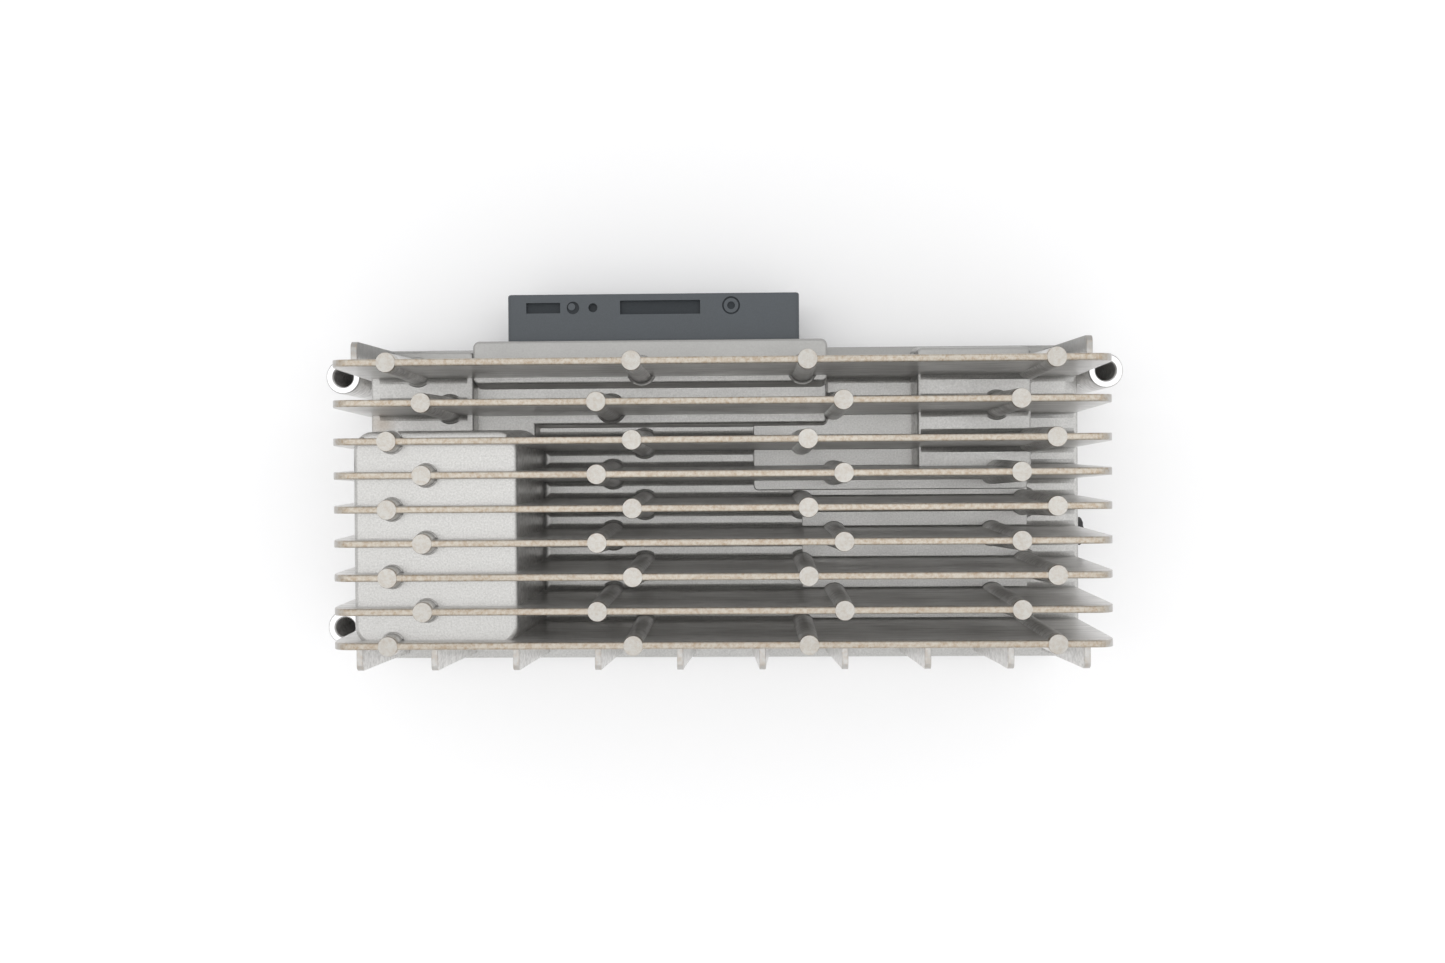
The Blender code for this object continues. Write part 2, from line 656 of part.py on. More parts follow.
def cut_holes(casting):
    holes = bmesh.new()
    reach = WALL
    for x, y in tube_places():
        add_round(holes, (x, y, 0.0), [(-reach, TUBE_HOLE_RADIUS),
                                       (TUBE_HEIGHT + reach, TUBE_HOLE_RADIUS)], TUBE_SIDES)
    for x, y in cover_screw_places():
        add_round(holes, (x, y, 0.0), [(-reach, SCREW_RADIUS + GAP),
                                       (SCREW_LENGTH + FIT, SCREW_RADIUS + GAP)], SCREW_SIDES)
    for x, y in standoff_places():
        add_round(holes, (x, y, 0.0), [(-reach, SCREW_RADIUS + GAP),
                                       (BOARD_BOTTOM + BOARD_SCREW_LENGTH + FIT,
                                        SCREW_RADIUS + GAP)], SCREW_SIDES)
    for x, z in header_screw_places():
        add_round(holes, (x, 0.0, z), [(COLLAR_INNER - reach, SCREW_RADIUS + GAP),
                                       (SCREW_END + GAP, SCREW_RADIUS + GAP)], SCREW_SIDES, "Y")
    add_slab(holes, HEADER_LEFT - FIT, HEADER_RIGHT + FIT, COLLAR_INNER - reach,
             COLLAR_REAR + reach, HEADER_BOTTOM - FIT, HEADER_TOP + FIT)
    x, y, z = vent_place()
    add_round(holes, (0.0, y, z), [(HALF - 2 * WALL, VENT_THREAD_RADIUS + GAP),
                                   (HALF + WALL, VENT_THREAD_RADIUS + GAP)], SCREW_SIDES, "X")
    boolean(casting, to_object("holes", holes), "DIFFERENCE")


# ---- cover, gasket, screws, vent -----------------------------------------------------
def cover(surface):
    edge = COVER_INSET - BODY_DRAFT
    plate = slab("bottom_cover", -HALF + edge, HALF - edge, FRONT + edge, REAR - edge, 0.0,
                 COVER_THICKNESS, BODY_CORNER)
    holes = bmesh.new()
    for x, y in cover_screw_places():
        add_round(holes, (x, y, 0.0), screw_hole_levels(COVER_THICKNESS), SCREW_SIDES)
    boolean(plate, to_object("cover_holes", holes), "DIFFERENCE")
    tidy_mesh(plate)
    finish(plate, surface)


def screw_hole_levels(reach):
    """Countersink from the underside, then a clear hole."""
    wide = SCREW_HEAD_RADIUS + GAP
    narrow = SCREW_RADIUS + GAP
    return [(-reach, wide), (SCREW_HEAD_EDGE, wide), (SCREW_HEAD_EDGE + wide - narrow, narrow),
            (COVER_THICKNESS + reach, narrow)]


def countersunk_levels():
    slope = SCREW_HEAD_RADIUS - SCREW_RADIUS
    return [(SCREW_SINK, SCREW_HEAD_RADIUS), (SCREW_HEAD_EDGE, SCREW_HEAD_RADIUS),
            (SCREW_HEAD_EDGE + slope, SCREW_RADIUS), (SCREW_LENGTH, SCREW_RADIUS)]


def cover_screws(surface):
    data = bmesh.new()
    add_round(data, (0.0, 0.0, 0.0), countersunk_levels(), SCREW_SIDES)
    copies("cover_screw", data, [(x, y, 0.0) for x, y in cover_screw_places()], surface)


def gasket(surface):
    bottom = COVER_THICKNESS + GAP
    middle = WALL / 2
    reach = GASKET_WIDTH / 2
    outer = middle - reach
    inner = middle + reach
    ring = slab("cover_gasket", -HALF + outer, HALF - outer, FRONT + outer, REAR - outer, bottom,
                bottom + GASKET_THICKNESS, BODY_CORNER - outer)
    cut = slab("gasket_cut", -HALF + inner, HALF - inner, FRONT + inner, REAR - inner,
               bottom - GAP, bottom + GASKET_THICKNESS + GAP, BODY_CORNER - inner)
    boolean(ring, cut, "DIFFERENCE")
    finish(ring, surface)


def vent_place():
    return HALF, VENT_Y, (RIM + CEILING) / 2


def vent(plastic, rubber):
    """Screwed vent plug in the right wall, with its sealing ring."""
    x, y, z = vent_place()
    face = x + BODY_DRAFT + GAP
    ring = bmesh.new()
    ring_end = face + VENT_SEAL
    add_round(ring, (0.0, y, z), [(face, VENT_RADIUS - VENT_EDGE),
                                  (ring_end, VENT_RADIUS - VENT_EDGE)], POST_SIDES, "X")
    seal = to_object("vent_seal", ring)
    bore = bmesh.new()
    add_round(bore, (0.0, y, z), [(face - GAP, VENT_THREAD_RADIUS + GAP),
                                  (ring_end + GAP, VENT_THREAD_RADIUS + GAP)], SCREW_SIDES, "X")
    boolean(seal, to_object("vent_seal_bore", bore), "DIFFERENCE")
    finish(seal, rubber)
    plug = bmesh.new()
    head = ring_end + GAP
    add_round(plug, (0.0, y, z), [(x - WALL - VENT_INNER_END, VENT_THREAD_RADIUS),
                                  (head, VENT_THREAD_RADIUS), (head, VENT_RADIUS),
                                  (head + VENT_HEAD - VENT_EDGE, VENT_RADIUS),
                                  (head + VENT_HEAD, VENT_RADIUS - VENT_EDGE)], SCREW_SIDES, "X")
    to_object("vent_plug", plug, plastic)


def pan_head_levels(length):
    """Head below the origin, shank above it."""
    return [(-PAN_HEAD_HEIGHT, SCREW_HEAD_RADIUS - PAN_HEAD_EDGE),
            (-PAN_HEAD_HEIGHT + PAN_HEAD_EDGE, SCREW_HEAD_RADIUS), (0.0, SCREW_HEAD_RADIUS),
            (0.0, SCREW_RADIUS), (length, SCREW_RADIUS)]


# ---- board ---------------------------------------------------------------------------
def board(surface, metal):
    plate = slab("main_board", -BOARD_HALF, BOARD_HALF, BOARD_FRONT, BOARD_REAR, BOARD_BOTTOM,
                 BOARD_TOP, BOARD_CORNER)
    holes = bmesh.new()
    for x, y in standoff_places():
        add_round(holes, (x, y, 0.0), [(BOARD_BOTTOM - GAP, SCREW_RADIUS + GAP),
                                       (BOARD_TOP + GAP, SCREW_RADIUS + GAP)], SCREW_SIDES)
    boolean(plate, to_object("board_holes", holes), "DIFFERENCE")
    finish(plate, surface)
    screw = bmesh.new()
    add_round(screw, (0.0, 0.0, 0.0), pan_head_levels(BOARD_SCREW_LENGTH), SCREW_SIDES)
    head = BOARD_BOTTOM - GAP
    copies("board_screw", screw, [(x, y, head) for x, y in standoff_places()], metal)


# ---- header --------------------------------------------------------------------------
def header_screw_places():
    """One through each end of the flange."""
    return [(HEADER_LEFT - FLANGE_SCREW_REACH, HEADER_MIDDLE),
            (HEADER_RIGHT + FLANGE_SCREW_REACH, HEADER_MIDDLE)]


def socket_ends():
    """The signal socket and the power socket, along X."""
    power_right = HEADER_RIGHT - HEADER_WALL
    power_left = power_right - POWER_SOCKET_WIDTH
    signal_right = power_left - HEADER_WEB
    return (HEADER_LEFT + HEADER_WALL, signal_right), (power_left, power_right)


def signal_places():
    left, right = socket_ends()[0]
    middle = (left + right) / 2
    first = middle - (SIGNAL_COLUMNS - 1) / 2 * SIGNAL_PITCH
    return [(first + column * SIGNAL_PITCH, row) for row in SIGNAL_ROWS
            for column in range(SIGNAL_COLUMNS)]


def blade_places():
    left, right = socket_ends()[1]
    middle = (left + right) / 2
    first = middle - (BLADE_COUNT - 1) / 2 * BLADE_PITCH
    return [first + index * BLADE_PITCH for index in range(BLADE_COUNT)]


def wafer_ends():
    """Left, right, bottom and top of the moulded carrier in each socket's floor."""
    signals = signal_places()
    margin = WAFER_MARGIN
    blades = blade_places()
    half = BLADE_WIDTH / 2 + margin
    return [(signals[0][0] - margin, signals[-1][0] + margin, SIGNAL_ROWS[0] - margin,
             SIGNAL_ROWS[-1] + margin),
            (blades[0] - 2 * margin, blades[-1] + 2 * margin, HEADER_MIDDLE - half,
             HEADER_MIDDLE + half)]


def header(surface):
    body = slab("connector_header", HEADER_LEFT, HEADER_RIGHT, FLANGE_FRONT, HEADER_END,
                HEADER_BOTTOM, HEADER_TOP, HEADER_CORNER)
    flange = slab("flange", HEADER_LEFT - FLANGE_SIDE, HEADER_RIGHT + FLANGE_SIDE, FLANGE_FRONT,
                  FLANGE_REAR, HEADER_BOTTOM - FLANGE_LIP, HEADER_TOP + FLANGE_LIP)
    boolean(body, flange, "UNION")
    cuts = bmesh.new()
    reach = HEADER_WALL
    for left, right in socket_ends():
        add_slab(cuts, left, right, SOCKET_FLOOR, HEADER_END + reach,
                 HEADER_BOTTOM + HEADER_WALL, HEADER_TOP - HEADER_WALL)
    boolean(body, to_object("sockets", cuts), "DIFFERENCE")
    holes = bmesh.new()
    for left, right, low, high in wafer_ends():
        add_slab(holes, left - GAP, right + GAP, FLANGE_FRONT - reach, SOCKET_FLOOR + reach,
                 low - GAP, high + GAP)
    for x, z in header_screw_places():
        add_round(holes, (x, 0.0, z), [(FLANGE_FRONT - reach, SCREW_RADIUS + GAP),
                                       (FLANGE_REAR + reach, SCREW_RADIUS + GAP)],
                  SCREW_SIDES, "Y")
    boolean(body, to_object("header_holes", holes), "DIFFERENCE")
    tidy_mesh(body)
    finish(body, surface)


def header_seal(surface):
    """Flat frame of rubber between the flange and the wall."""
    front = FLANGE_REAR + GAP
    ring = slab("header_seal", HEADER_LEFT - SEAL_SIDE, HEADER_RIGHT + SEAL_SIDE, front,
                front + SEAL_THICKNESS, HEADER_BOTTOM - SEAL_SIDE, HEADER_TOP + SEAL_SIDE)
    hole = slab("seal_cut", HEADER_LEFT - GAP, HEADER_RIGHT + GAP, front - GAP,
                front + SEAL_THICKNESS + GAP, HEADER_BOTTOM - GAP, HEADER_TOP + GAP)
    boolean(ring, hole, "DIFFERENCE")
    finish(ring, surface)


def header_screws(surface):
    head = FLANGE_FRONT - GAP
    length = SCREW_END - head
    screw = bmesh.new()
    add_round(screw, (0.0, 0.0, 0.0), pan_head_levels(length), SCREW_SIDES, "Y")
    copies("header_screw", screw, [(x, head, z) for x, z in header_screw_places()], surface)


def add_bent_strip(target, x, half, upper, lower, bend, end, foot):
    """Strip in a plane of constant x: level from end to bend, then down to foot."""
    thick = upper - lower
    profile = [(end, lower), (end, upper), (bend, upper), (bend, foot), (bend + thick, foot),
               (bend + thick, lower)]
    rings = [[Vector((x + side * half, y, z)) for y, z in profile] for side in (-1, 1)]
    loft(target, rings)


def terminals(surface):
    """Two insert-moulded wafers: pins and blades fixed in a carrier of plastic."""
    signal_ends, power_ends = wafer_ends()
    front = FLANGE_FRONT + WAFER_SINK
    rear = SOCKET_FLOOR - WAFER_SINK
    end = SOCKET_FLOOR + TERMINAL_REACH
    wafer = slab("signal_terminals", signal_ends[0], signal_ends[1], front, rear, signal_ends[2],
                 signal_ends[3])
    pins = bmesh.new()
    half = SIGNAL_PIN / 2
    for x, z in signal_places():
        bend = BOARD_REAR - PIN_SETBACK - SIGNAL_ROWS.index(z) * PIN_ROW_STEP
        add_bent_strip(pins, x, half, z + half, z - half, bend, end, SEAT)
    boolean(wafer, to_object("pins", pins), "UNION")
    finish(wafer, surface)
    wafer = slab("power_terminals", power_ends[0], power_ends[1], front, rear, power_ends[2],
                 power_ends[3])
    blades = bmesh.new()
    bend = BOARD_REAR - BLADE_WIDTH - PIN_SETBACK / 2
    for x in blade_places():
        add_bent_strip(blades, x, BLADE_THICKNESS / 2, HEADER_MIDDLE + BLADE_WIDTH / 2,
                       HEADER_MIDDLE - BLADE_WIDTH / 2, bend, end, SEAT)
    boolean(wafer, to_object("blades", blades), "UNION")
    finish(wafer, surface)


# ---- power stage -----------------------------------------------------------------------
def power_stage(body_surface, pad_surface):
    front, rear = pedestal_rows()
    width, depth, height = TRANSISTOR_SIZE
    pitch = PEDESTAL_LENGTH / TRANSISTOR_COUNT
    for side, left in zip(("input", "output"), pedestal_places()):
        package = bmesh.new()
        add_slab(package, -width / 2, width / 2, -depth / 2, depth / 2, 0.0, height, 0.0,
                 TRANSISTOR_DRAFT)
        places = [(left + (index + 0.5) * pitch, (front + rear) / 2, SEAT)
                  for index in range(TRANSISTOR_COUNT)]
        copies(side + "_transistor", package, places, body_surface)
        bottom = SEAT + height + GAP
        slab(side + "_thermal_pad", left + PAD_MARGIN, left + PEDESTAL_LENGTH - PAD_MARGIN,
             front + PAD_MARGIN, rear - PAD_MARGIN, bottom, bottom + PAD_THICKNESS,
             surface=pad_surface)


def tower_space():
    """Clear inside of the tower: left, right, front, rear."""
    return (TOWER_LEFT + TOWER_SIDE, TOWER_RIGHT - TOWER_SIDE, TOWER_FRONT + TOWER_SIDE,
            TOWER_BACK - TOWER_SIDE)


def capacitors(can_surface, film_surface):
    left, right, front, rear = tower_space()
    tall = bmesh.new()
    add_round(tall, (0.0, 0.0, 0.0), can_levels(CAN_RADIUS, TOWER_CEILING - CAN_CLEARANCE),
              CAN_SIDES)
    spacing = (right - left) / CAN_COUNT
    places = [(left + spacing * (index + 0.5), rear - CAN_RADIUS, 0.0)
              for index in range(CAN_COUNT)]
    copies("bus_capacitor", tall, places, can_surface)
    small = bmesh.new()
    add_round(small, (0.0, 0.0, 0.0),
              can_levels(SMALL_CAN_RADIUS, CEILING - SMALL_CAN_CLEARANCE), POST_SIDES)
    copies("input_capacitor", small, small_can_places(), can_surface)
    left, right, front, rear, top = pockets()["left"]
    left = standoff_places()[-1][0] + STANDOFF_RADIUS + FILM_CLEARANCE
    slab("interference_capacitor", left, right - FILM_CLEARANCE, front + FILM_CLEARANCE / 2,
         BOARD_REAR - FILM_CLEARANCE, SEAT, top - FILM_CLEARANCE, COIL_CORNER, 0.0, film_surface)


def small_can_places():
    y = STRIP_FRONT - SMALL_CAN_RADIUS
    return [(COLLAR_LEFT + SMALL_CAN_START + index * SMALL_CAN_PITCH, y, 0.0)
            for index in range(SMALL_CAN_COUNT)]


def can_levels(radius, top):
    """Aluminium can: rolled groove near the foot and a chamfered top."""
    groove = SEAT + 5 * CAN_EDGE
    return [(SEAT, radius), (groove - CAN_EDGE, radius), (groove, radius - CAN_EDGE),
            (groove + CAN_EDGE, radius), (top - CAN_EDGE, radius), (top, radius - CAN_EDGE)]


def transformer(ferrite, plastic, copper, tape):
    """E-core transformer standing under the tower, its legs across X."""
    left, right, front, rear = tower_space()
    rear = rear - 2 * CAN_RADIUS - CORE_SPACE
    middle_y = (front + rear) / 2
    centre = (left + right) / 2
    core_half = (rear - front) / 2 - WINDING_THICKNESS
    bottom = SEAT + CORE_LIFT
    top = TOWER_CEILING - CORE_CLEARANCE
    half_core("transformer_core_lower", bottom, bottom + CORE_YOKE, (bottom + top - GAP) / 2,
              middle_y, core_half, ferrite)
    half_core("transformer_core_upper", top, top - CORE_YOKE, (bottom + top + GAP) / 2,
              middle_y, core_half, ferrite)
    low = bottom + CORE_YOKE + GAP
    high = top - CORE_YOKE - GAP
    reach = right - CORE_LEG - GAP - centre
    tube = (CORE_LEG + GAP, core_half + GAP)
    bobbin(centre, middle_y, tube, (reach, (rear - front) / 2), low, high, plastic)
    inner = (tube[0] + BOBBIN_WALL + GAP, tube[1] + BOBBIN_WALL + GAP)
    outer = (reach - GAP, (rear - front) / 2 - GAP)
    split = (low + high) / 2
    coil("primary_winding", centre, middle_y, inner, outer, low + BOBBIN_WALL + GAP,
         split - GAP / 2, copper)
    coil("secondary_winding", centre, middle_y, inner, outer, split + GAP / 2,
         high - BOBBIN_WALL - GAP, tape)


def half_core(name, yoke_face, yoke_inner, leg_end, middle_y, core_half, surface):
    """One E of the core: a yoke across the tower and three legs towards the other half."""
    left, right = tower_space()[:2]
    centre = (left + right) / 2
    low, high = sorted((yoke_face, yoke_inner))
    core = slab(name, left, right, middle_y - core_half, middle_y + core_half, low, high)
    low, high = sorted((yoke_face, leg_end))
    for leg_left, leg_right in ((left, left + CORE_LEG), (centre - CORE_LEG, centre + CORE_LEG),
                                (right - CORE_LEG, right)):
        leg = slab(name + "_leg", leg_left + HAIR, leg_right - HAIR, middle_y - core_half + HAIR,
                   middle_y + core_half - HAIR, low, high)
        boolean(core, leg, "UNION")
    tidy_mesh(core)
    finish(core, surface)


def bobbin(centre, middle_y, tube, cheeks, low, high, surface):
    """Square tube with a cheek at each end; tube and cheeks are half widths in X and Y."""
    made = slab("transformer_bobbin", centre - tube[0] - BOBBIN_WALL,
                centre + tube[0] + BOBBIN_WALL, middle_y - tube[1] - BOBBIN_WALL,
                middle_y + tube[1] + BOBBIN_WALL, low, high)
    for start in (low, high - BOBBIN_WALL):
        cheek = slab("cheek", centre - cheeks[0], centre + cheeks[0], middle_y - cheeks[1],
                     middle_y + cheeks[1], start, start + BOBBIN_WALL)
        boolean(made, cheek, "UNION")
    hole = slab("bobbin_hole", centre - tube[0], centre + tube[0], middle_y - tube[1],
                middle_y + tube[1], low - WALL, high + WALL)
    boolean(made, hole, "DIFFERENCE")
    tidy_mesh(made)
    finish(made, surface)


def coil(name, centre, middle_y, inner, outer, start, stop, surface):
    """Rectangular sleeve of wire; inner and outer are half widths in X and Y."""
    made = slab(name, centre - outer[0], centre + outer[0], middle_y - outer[1],
                middle_y + outer[1], start, stop, COIL_CORNER)
    hole = slab("coil_hole", centre - inner[0], centre + inner[0], middle_y - inner[1],
                middle_y + inner[1], start - GAP, stop + GAP)
    boolean(made, hole, "DIFFERENCE")
    finish(made, surface)


def ring_core(name, centre, outer, inner, bottom, top, surface):
    data = bmesh.new()
    add_round(data, (*centre, 0.0), [(bottom, outer), (top, outer)], RING_SIDES)
    core = to_object(name, data)
    bore = bmesh.new()
    add_round(bore, (*centre, 0.0), [(bottom - GAP, inner), (top + GAP, inner)], RING_SIDES)
    boolean(core, to_object(name + "_bore", bore), "DIFFERENCE")
    finish(core, surface)


def winding(name, centre, middle, arc, outer, inner, bottom, top, surface):
    """Sleeve of wire round a ring core, over an arc about the angle middle."""
    data = bmesh.new()
    steps = round(arc / math.radians(15))
    hole, skin = [], []
    for rows, grow in ((hole, GAP), (skin, GAP + WIRE)):
        section = [(inner - grow, bottom - grow), (outer + grow, bottom - grow),
                   (outer + grow, top + grow), (inner - grow, top + grow)]
        for step in range(steps + 1):
            angle = middle + arc * (step / steps - 0.5)
            rows.append([data.verts.new((centre[0] + radius * math.cos(angle),
                                         centre[1] + radius * math.sin(angle), height))
                         for radius, height in section])
    for index in range(4):
        following = (index + 1) % 4
        for step in range(steps):
            data.faces.new((skin[step][index], skin[step][following],
                            skin[step + 1][following], skin[step + 1][index]))
            data.faces.new((hole[step][following], hole[step][index],
                            hole[step + 1][index], hole[step + 1][following]))
        for end in (0, steps):
            data.faces.new((hole[end][index], hole[end][following],
                            skin[end][following], skin[end][index]))
    to_object(name, data, surface)


def chokes(ferrite, copper):
    lift = SEAT + WIRE + 2 * GAP
    outer, inner, height = FILTER_RING
    centre = (sum(right_plateau_ends()) / 2, ROWS[1] - FILTER_RING_FRONT)
    ring_core("filter_choke_core", centre, outer, inner, lift, lift + height, ferrite)
    for name, middle in (("line", math.pi / 2), ("neutral", -math.pi / 2)):
        winding(f"filter_choke_{name}_winding", centre, middle, FILTER_ARC, outer, inner, lift,
                lift + height, copper)
    outer, inner = OUTPUT_RING
    centre = output_ring_centre()
    top = CEILING - WIRE - 3 * GAP
    ring_core("output_choke_core", centre, outer, inner, lift, top, ferrite)
    winding("output_choke_winding", centre, math.pi, OUTPUT_ARC, outer, inner, lift, top, copper)


def output_ring_centre():
    return (fuse_left() + FUSE_LENGTH + OUTPUT_RING_X,
            pedestal_rows()[1] + OUTPUT_RING[0] + WIRE + OUTPUT_RING_SPACE)


def control_parts(surface):
    """The control chip in front of the input capacitors, and the gate drivers."""
    can_x, can_y = small_can_places()[-1][:2]
    x, y = can_x + CHIP_X, can_y - CHIP_Y
    half = CHIP_WIDTH / 2
    slab("control_chip", x - half, x + half, y - half, y + half, SEAT, SEAT + CHIP_HEIGHT,
         surface=surface)
    width, depth, height = DRIVER_SIZE
    driver = bmesh.new()
    add_slab(driver, -width / 2, width / 2, -depth / 2, depth / 2, 0.0, height)
    x = output_ring_centre()[0] - DRIVER_X
    y = pedestal_rows()[1] + DRIVER_SPACE
    copies("gate_driver", driver, [(x - DRIVER_PITCH, y, SEAT), (x, y, SEAT)], surface)


def fuse_left():
    return small_can_places()[-1][0] + FUSE_X


def fuse(glass, metal):
    """Glass fuse held by a spring clip at each end."""
    left = fuse_left()
    y = small_can_places()[-1][1] - FUSE_Y
    z = SEAT + FUSE_RADIUS + FUSE_LIFT
    tube = bmesh.new()
    add_round(tube, (left, y, z), [(0.0, FUSE_RADIUS), (FUSE_LENGTH, FUSE_RADIUS)], POST_SIDES,
              "X")
    to_object("output_fuse", tube, glass)
    clip = bmesh.new()
    add_fuse_clip(clip, FUSE_RADIUS + GAP, z - SEAT, CLIP_THICKNESS, CLIP_LENGTH)
    ends = (left + CLIP_INSET, left + FUSE_LENGTH - CLIP_INSET - CLIP_LENGTH)
    copies("fuse_clip", clip, [(end, y, SEAT) for end in ends], metal)


def shunt(surface):
    left = TOWER_RIGHT + SHUNT_X
    front = pedestal_rows()[1] + SHUNT_Y
    length, width, height = SHUNT_SIZE
    profile = bridge(length, height, SHUNT_THICKNESS)
    strip = bmesh.new()
    loft(strip, [[Vector((left + x, y, SEAT + z)) for x, z in profile]
                 for y in (front, front + width)])
    to_object("current_shunt", strip, surface)


def bridge(width, height, thickness):
    """Outline of a strip bent into a bridge with two legs."""
    return [(0.0, 0.0), (thickness, 0.0), (thickness, height - thickness),
            (width - thickness, height - thickness), (width - thickness, 0.0), (width, 0.0),
            (width, height), (0.0, height)]


def add_fuse_clip(target, half, middle, thickness, length):
    """Spring clip: two cheeks on a floor under the fuse, open at the top."""
    floor = middle - half - thickness
    top = middle + half * 0.6
    profile = [(-half - thickness, 0.0), (half + thickness, 0.0), (half + thickness, top),
               (half, top), (half, floor), (-half, floor), (-half, top), (-half - thickness, top)]
    loft(target, [[Vector((x, y, z)) for y, z in profile] for x in (0.0, length)])


def main():
    clear_scene()
    cast = material("cast_aluminium", (0.58, 0.57, 0.55), 0.5, 0.85)
    sheet = material("cover_aluminium", (0.62, 0.62, 0.62), 0.4, 0.9)
    rubber = material("black_rubber", (0.02, 0.02, 0.02), 0.8)
    header_black = material("header_plastic", (0.07, 0.078, 0.085), 0.55)
    vent_black = material("black_plastic", (0.03, 0.03, 0.03), 0.6)
    steel = material("zinc_plated_steel", (0.66, 0.67, 0.68), 0.35, 0.9)
    green = material("board_green", (0.02, 0.13, 0.05), 0.5)
    tin = material("tinned_copper", (0.75, 0.74, 0.7), 0.3, 0.9)
    epoxy = material("black_epoxy", (0.03, 0.03, 0.03), 0.6)
    grey_pad = material("thermal_pad_grey", (0.35, 0.38, 0.42), 0.8)
    ferrite = material("ferrite", (0.06, 0.06, 0.065), 0.65)
    bobbin_black = material("bobbin_plastic", (0.04, 0.04, 0.04), 0.5)
    copper = material("enamelled_copper", (0.55, 0.22, 0.08), 0.35, 0.8)
    tape = material("yellow_tape", (0.75, 0.55, 0.08), 0.45)
    can = material("capacitor_sleeve", (0.04, 0.05, 0.09), 0.4)
    film = material("film_box", (0.75, 0.6, 0.1), 0.5)
    glass = material("fuse_glass", (0.8, 0.85, 0.85), 0.1)
    alloy = material("shunt_alloy", (0.6, 0.4, 0.25), 0.35, 0.9)

    housing(cast)
    cover(sheet)
    cover_screws(steel)
    gasket(rubber)
    vent(vent_black, rubber)
    board(green, steel)
    header(header_black)
    header_seal(rubber)
    header_screws(steel)
    terminals(tin)
    power_stage(epoxy, grey_pad)
    capacitors(can, film)
    transformer(ferrite, bobbin_black, copper, tape)
    chokes(ferrite, copper)
    control_parts(epoxy)
    fuse(glass, tin)
    shunt(alloy)


main()
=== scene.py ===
import math

import bmesh
import bpy
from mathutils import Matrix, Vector


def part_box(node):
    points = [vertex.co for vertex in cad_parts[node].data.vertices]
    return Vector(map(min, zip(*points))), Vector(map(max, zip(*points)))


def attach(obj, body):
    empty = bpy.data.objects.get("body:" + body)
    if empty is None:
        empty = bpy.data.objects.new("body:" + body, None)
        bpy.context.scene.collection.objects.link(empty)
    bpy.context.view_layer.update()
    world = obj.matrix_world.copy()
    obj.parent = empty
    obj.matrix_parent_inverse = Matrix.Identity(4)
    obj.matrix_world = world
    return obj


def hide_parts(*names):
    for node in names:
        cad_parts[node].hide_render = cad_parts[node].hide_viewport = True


# Looks of a sealed inverter module: a finned die casting, its header, cover and inner parts.
# Metres, +Z up. Boxes of the frame's nodes place the pieces; sizes below are their details.
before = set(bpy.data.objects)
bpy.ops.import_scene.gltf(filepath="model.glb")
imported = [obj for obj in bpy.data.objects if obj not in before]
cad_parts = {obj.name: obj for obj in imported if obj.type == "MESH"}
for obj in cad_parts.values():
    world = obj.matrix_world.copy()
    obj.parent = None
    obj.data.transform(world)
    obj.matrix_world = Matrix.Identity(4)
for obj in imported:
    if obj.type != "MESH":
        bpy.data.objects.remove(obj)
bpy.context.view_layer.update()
MM = 0.001

# ---- boxes of the frame ---------------------------------------------------------------
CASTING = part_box("heat_sink_housing")
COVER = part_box("bottom_cover")
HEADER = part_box("connector_header")
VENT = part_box("vent_plug")

# ---- sizes of the casting -------------------------------------------------------------
TOP = CASTING[1].z
COVER_INSET = 0.4 * MM            # cover inside the casting's outline
BODY_DRAFT = 0.8 * MM
BODY_CORNER = 5.0 * MM
BODY_EDGE = 0.8 * MM              # round of the body's upper edge
RIM_SLOPE = 4.6 * MM              # width of the slope inside that edge
RIM_DROP = 0.7 * MM
BODY_LEFT = COVER[0].x - COVER_INSET + BODY_DRAFT
BODY_RIGHT = COVER[1].x + COVER_INSET - BODY_DRAFT
BODY_FRONT = COVER[0].y - COVER_INSET + BODY_DRAFT
BODY_REAR = COVER[1].y + COVER_INSET - BODY_DRAFT
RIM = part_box("cover_gasket")[1].z + 0.3 * MM
WALL = 3.0 * MM
FIN_HEIGHT = 45.5 * MM
FLOOR = TOP - FIN_HEIGHT
CEILING = FLOOR - WALL
FIN_COUNT = 9
FIN_LENGTH = 2 * BODY_RIGHT - 2.2 * MM
FIN_TIP = 2.1 * MM
FIN_ROOT = 4.7 * MM
FIN_CORNER = 5.5 * MM
FIN_TIP_ROUND = 0.45 * MM
FIN_PITCH = 10.34 * MM
REAR_PITCHES = (12.24 * MM, 11.6 * MM)
FIRST_FIN = BODY_REAR - 8.26 * MM
FOOT_INSET = 0.5 * MM             # a fin's foot fillets end before the fin
PIN_MARK_RISE = 0.12 * MM         # ejector marks stand above the fins' tips
POST_TIP_RADIUS = 3.05 * MM
POST_ROOT_RADIUS = 4.2 * MM
POST_SIDES = 28
ODD_ROW_POSTS = (26.5 * MM, 100.8 * MM)
EVEN_ROW_POSTS = (37.2 * MM, 90.2 * MM)
PLATEAU = FLOOR + 9.5 * MM
STRIP = FLOOR + 4.5 * MM
COLLAR_TOP = PLATEAU + 0.5 * MM
FOOT_ROUND = 1.8 * MM             # fillet where a fin or post meets the floor
STEP_ROUND = 0.8 * MM
TOWER_TOP = TOP - 5.5 * MM
TOWER_LEFT = BODY_LEFT + 6.8 * MM
TOWER_RIGHT = TOWER_LEFT + 50.5 * MM
TUBE_SIDES = 48
TUBE_RADIUS = 5.7 * MM
TUBE_HOLE_RADIUS = 3.3 * MM
TUBE_TOP = 34.0 * MM
TUBE_Y = 41.8 * MM
TUBE_X = CASTING[1].x - TUBE_RADIUS
TUBE_EDGE = 0.35 * MM
HOLE_CHAMFER = 0.4 * MM
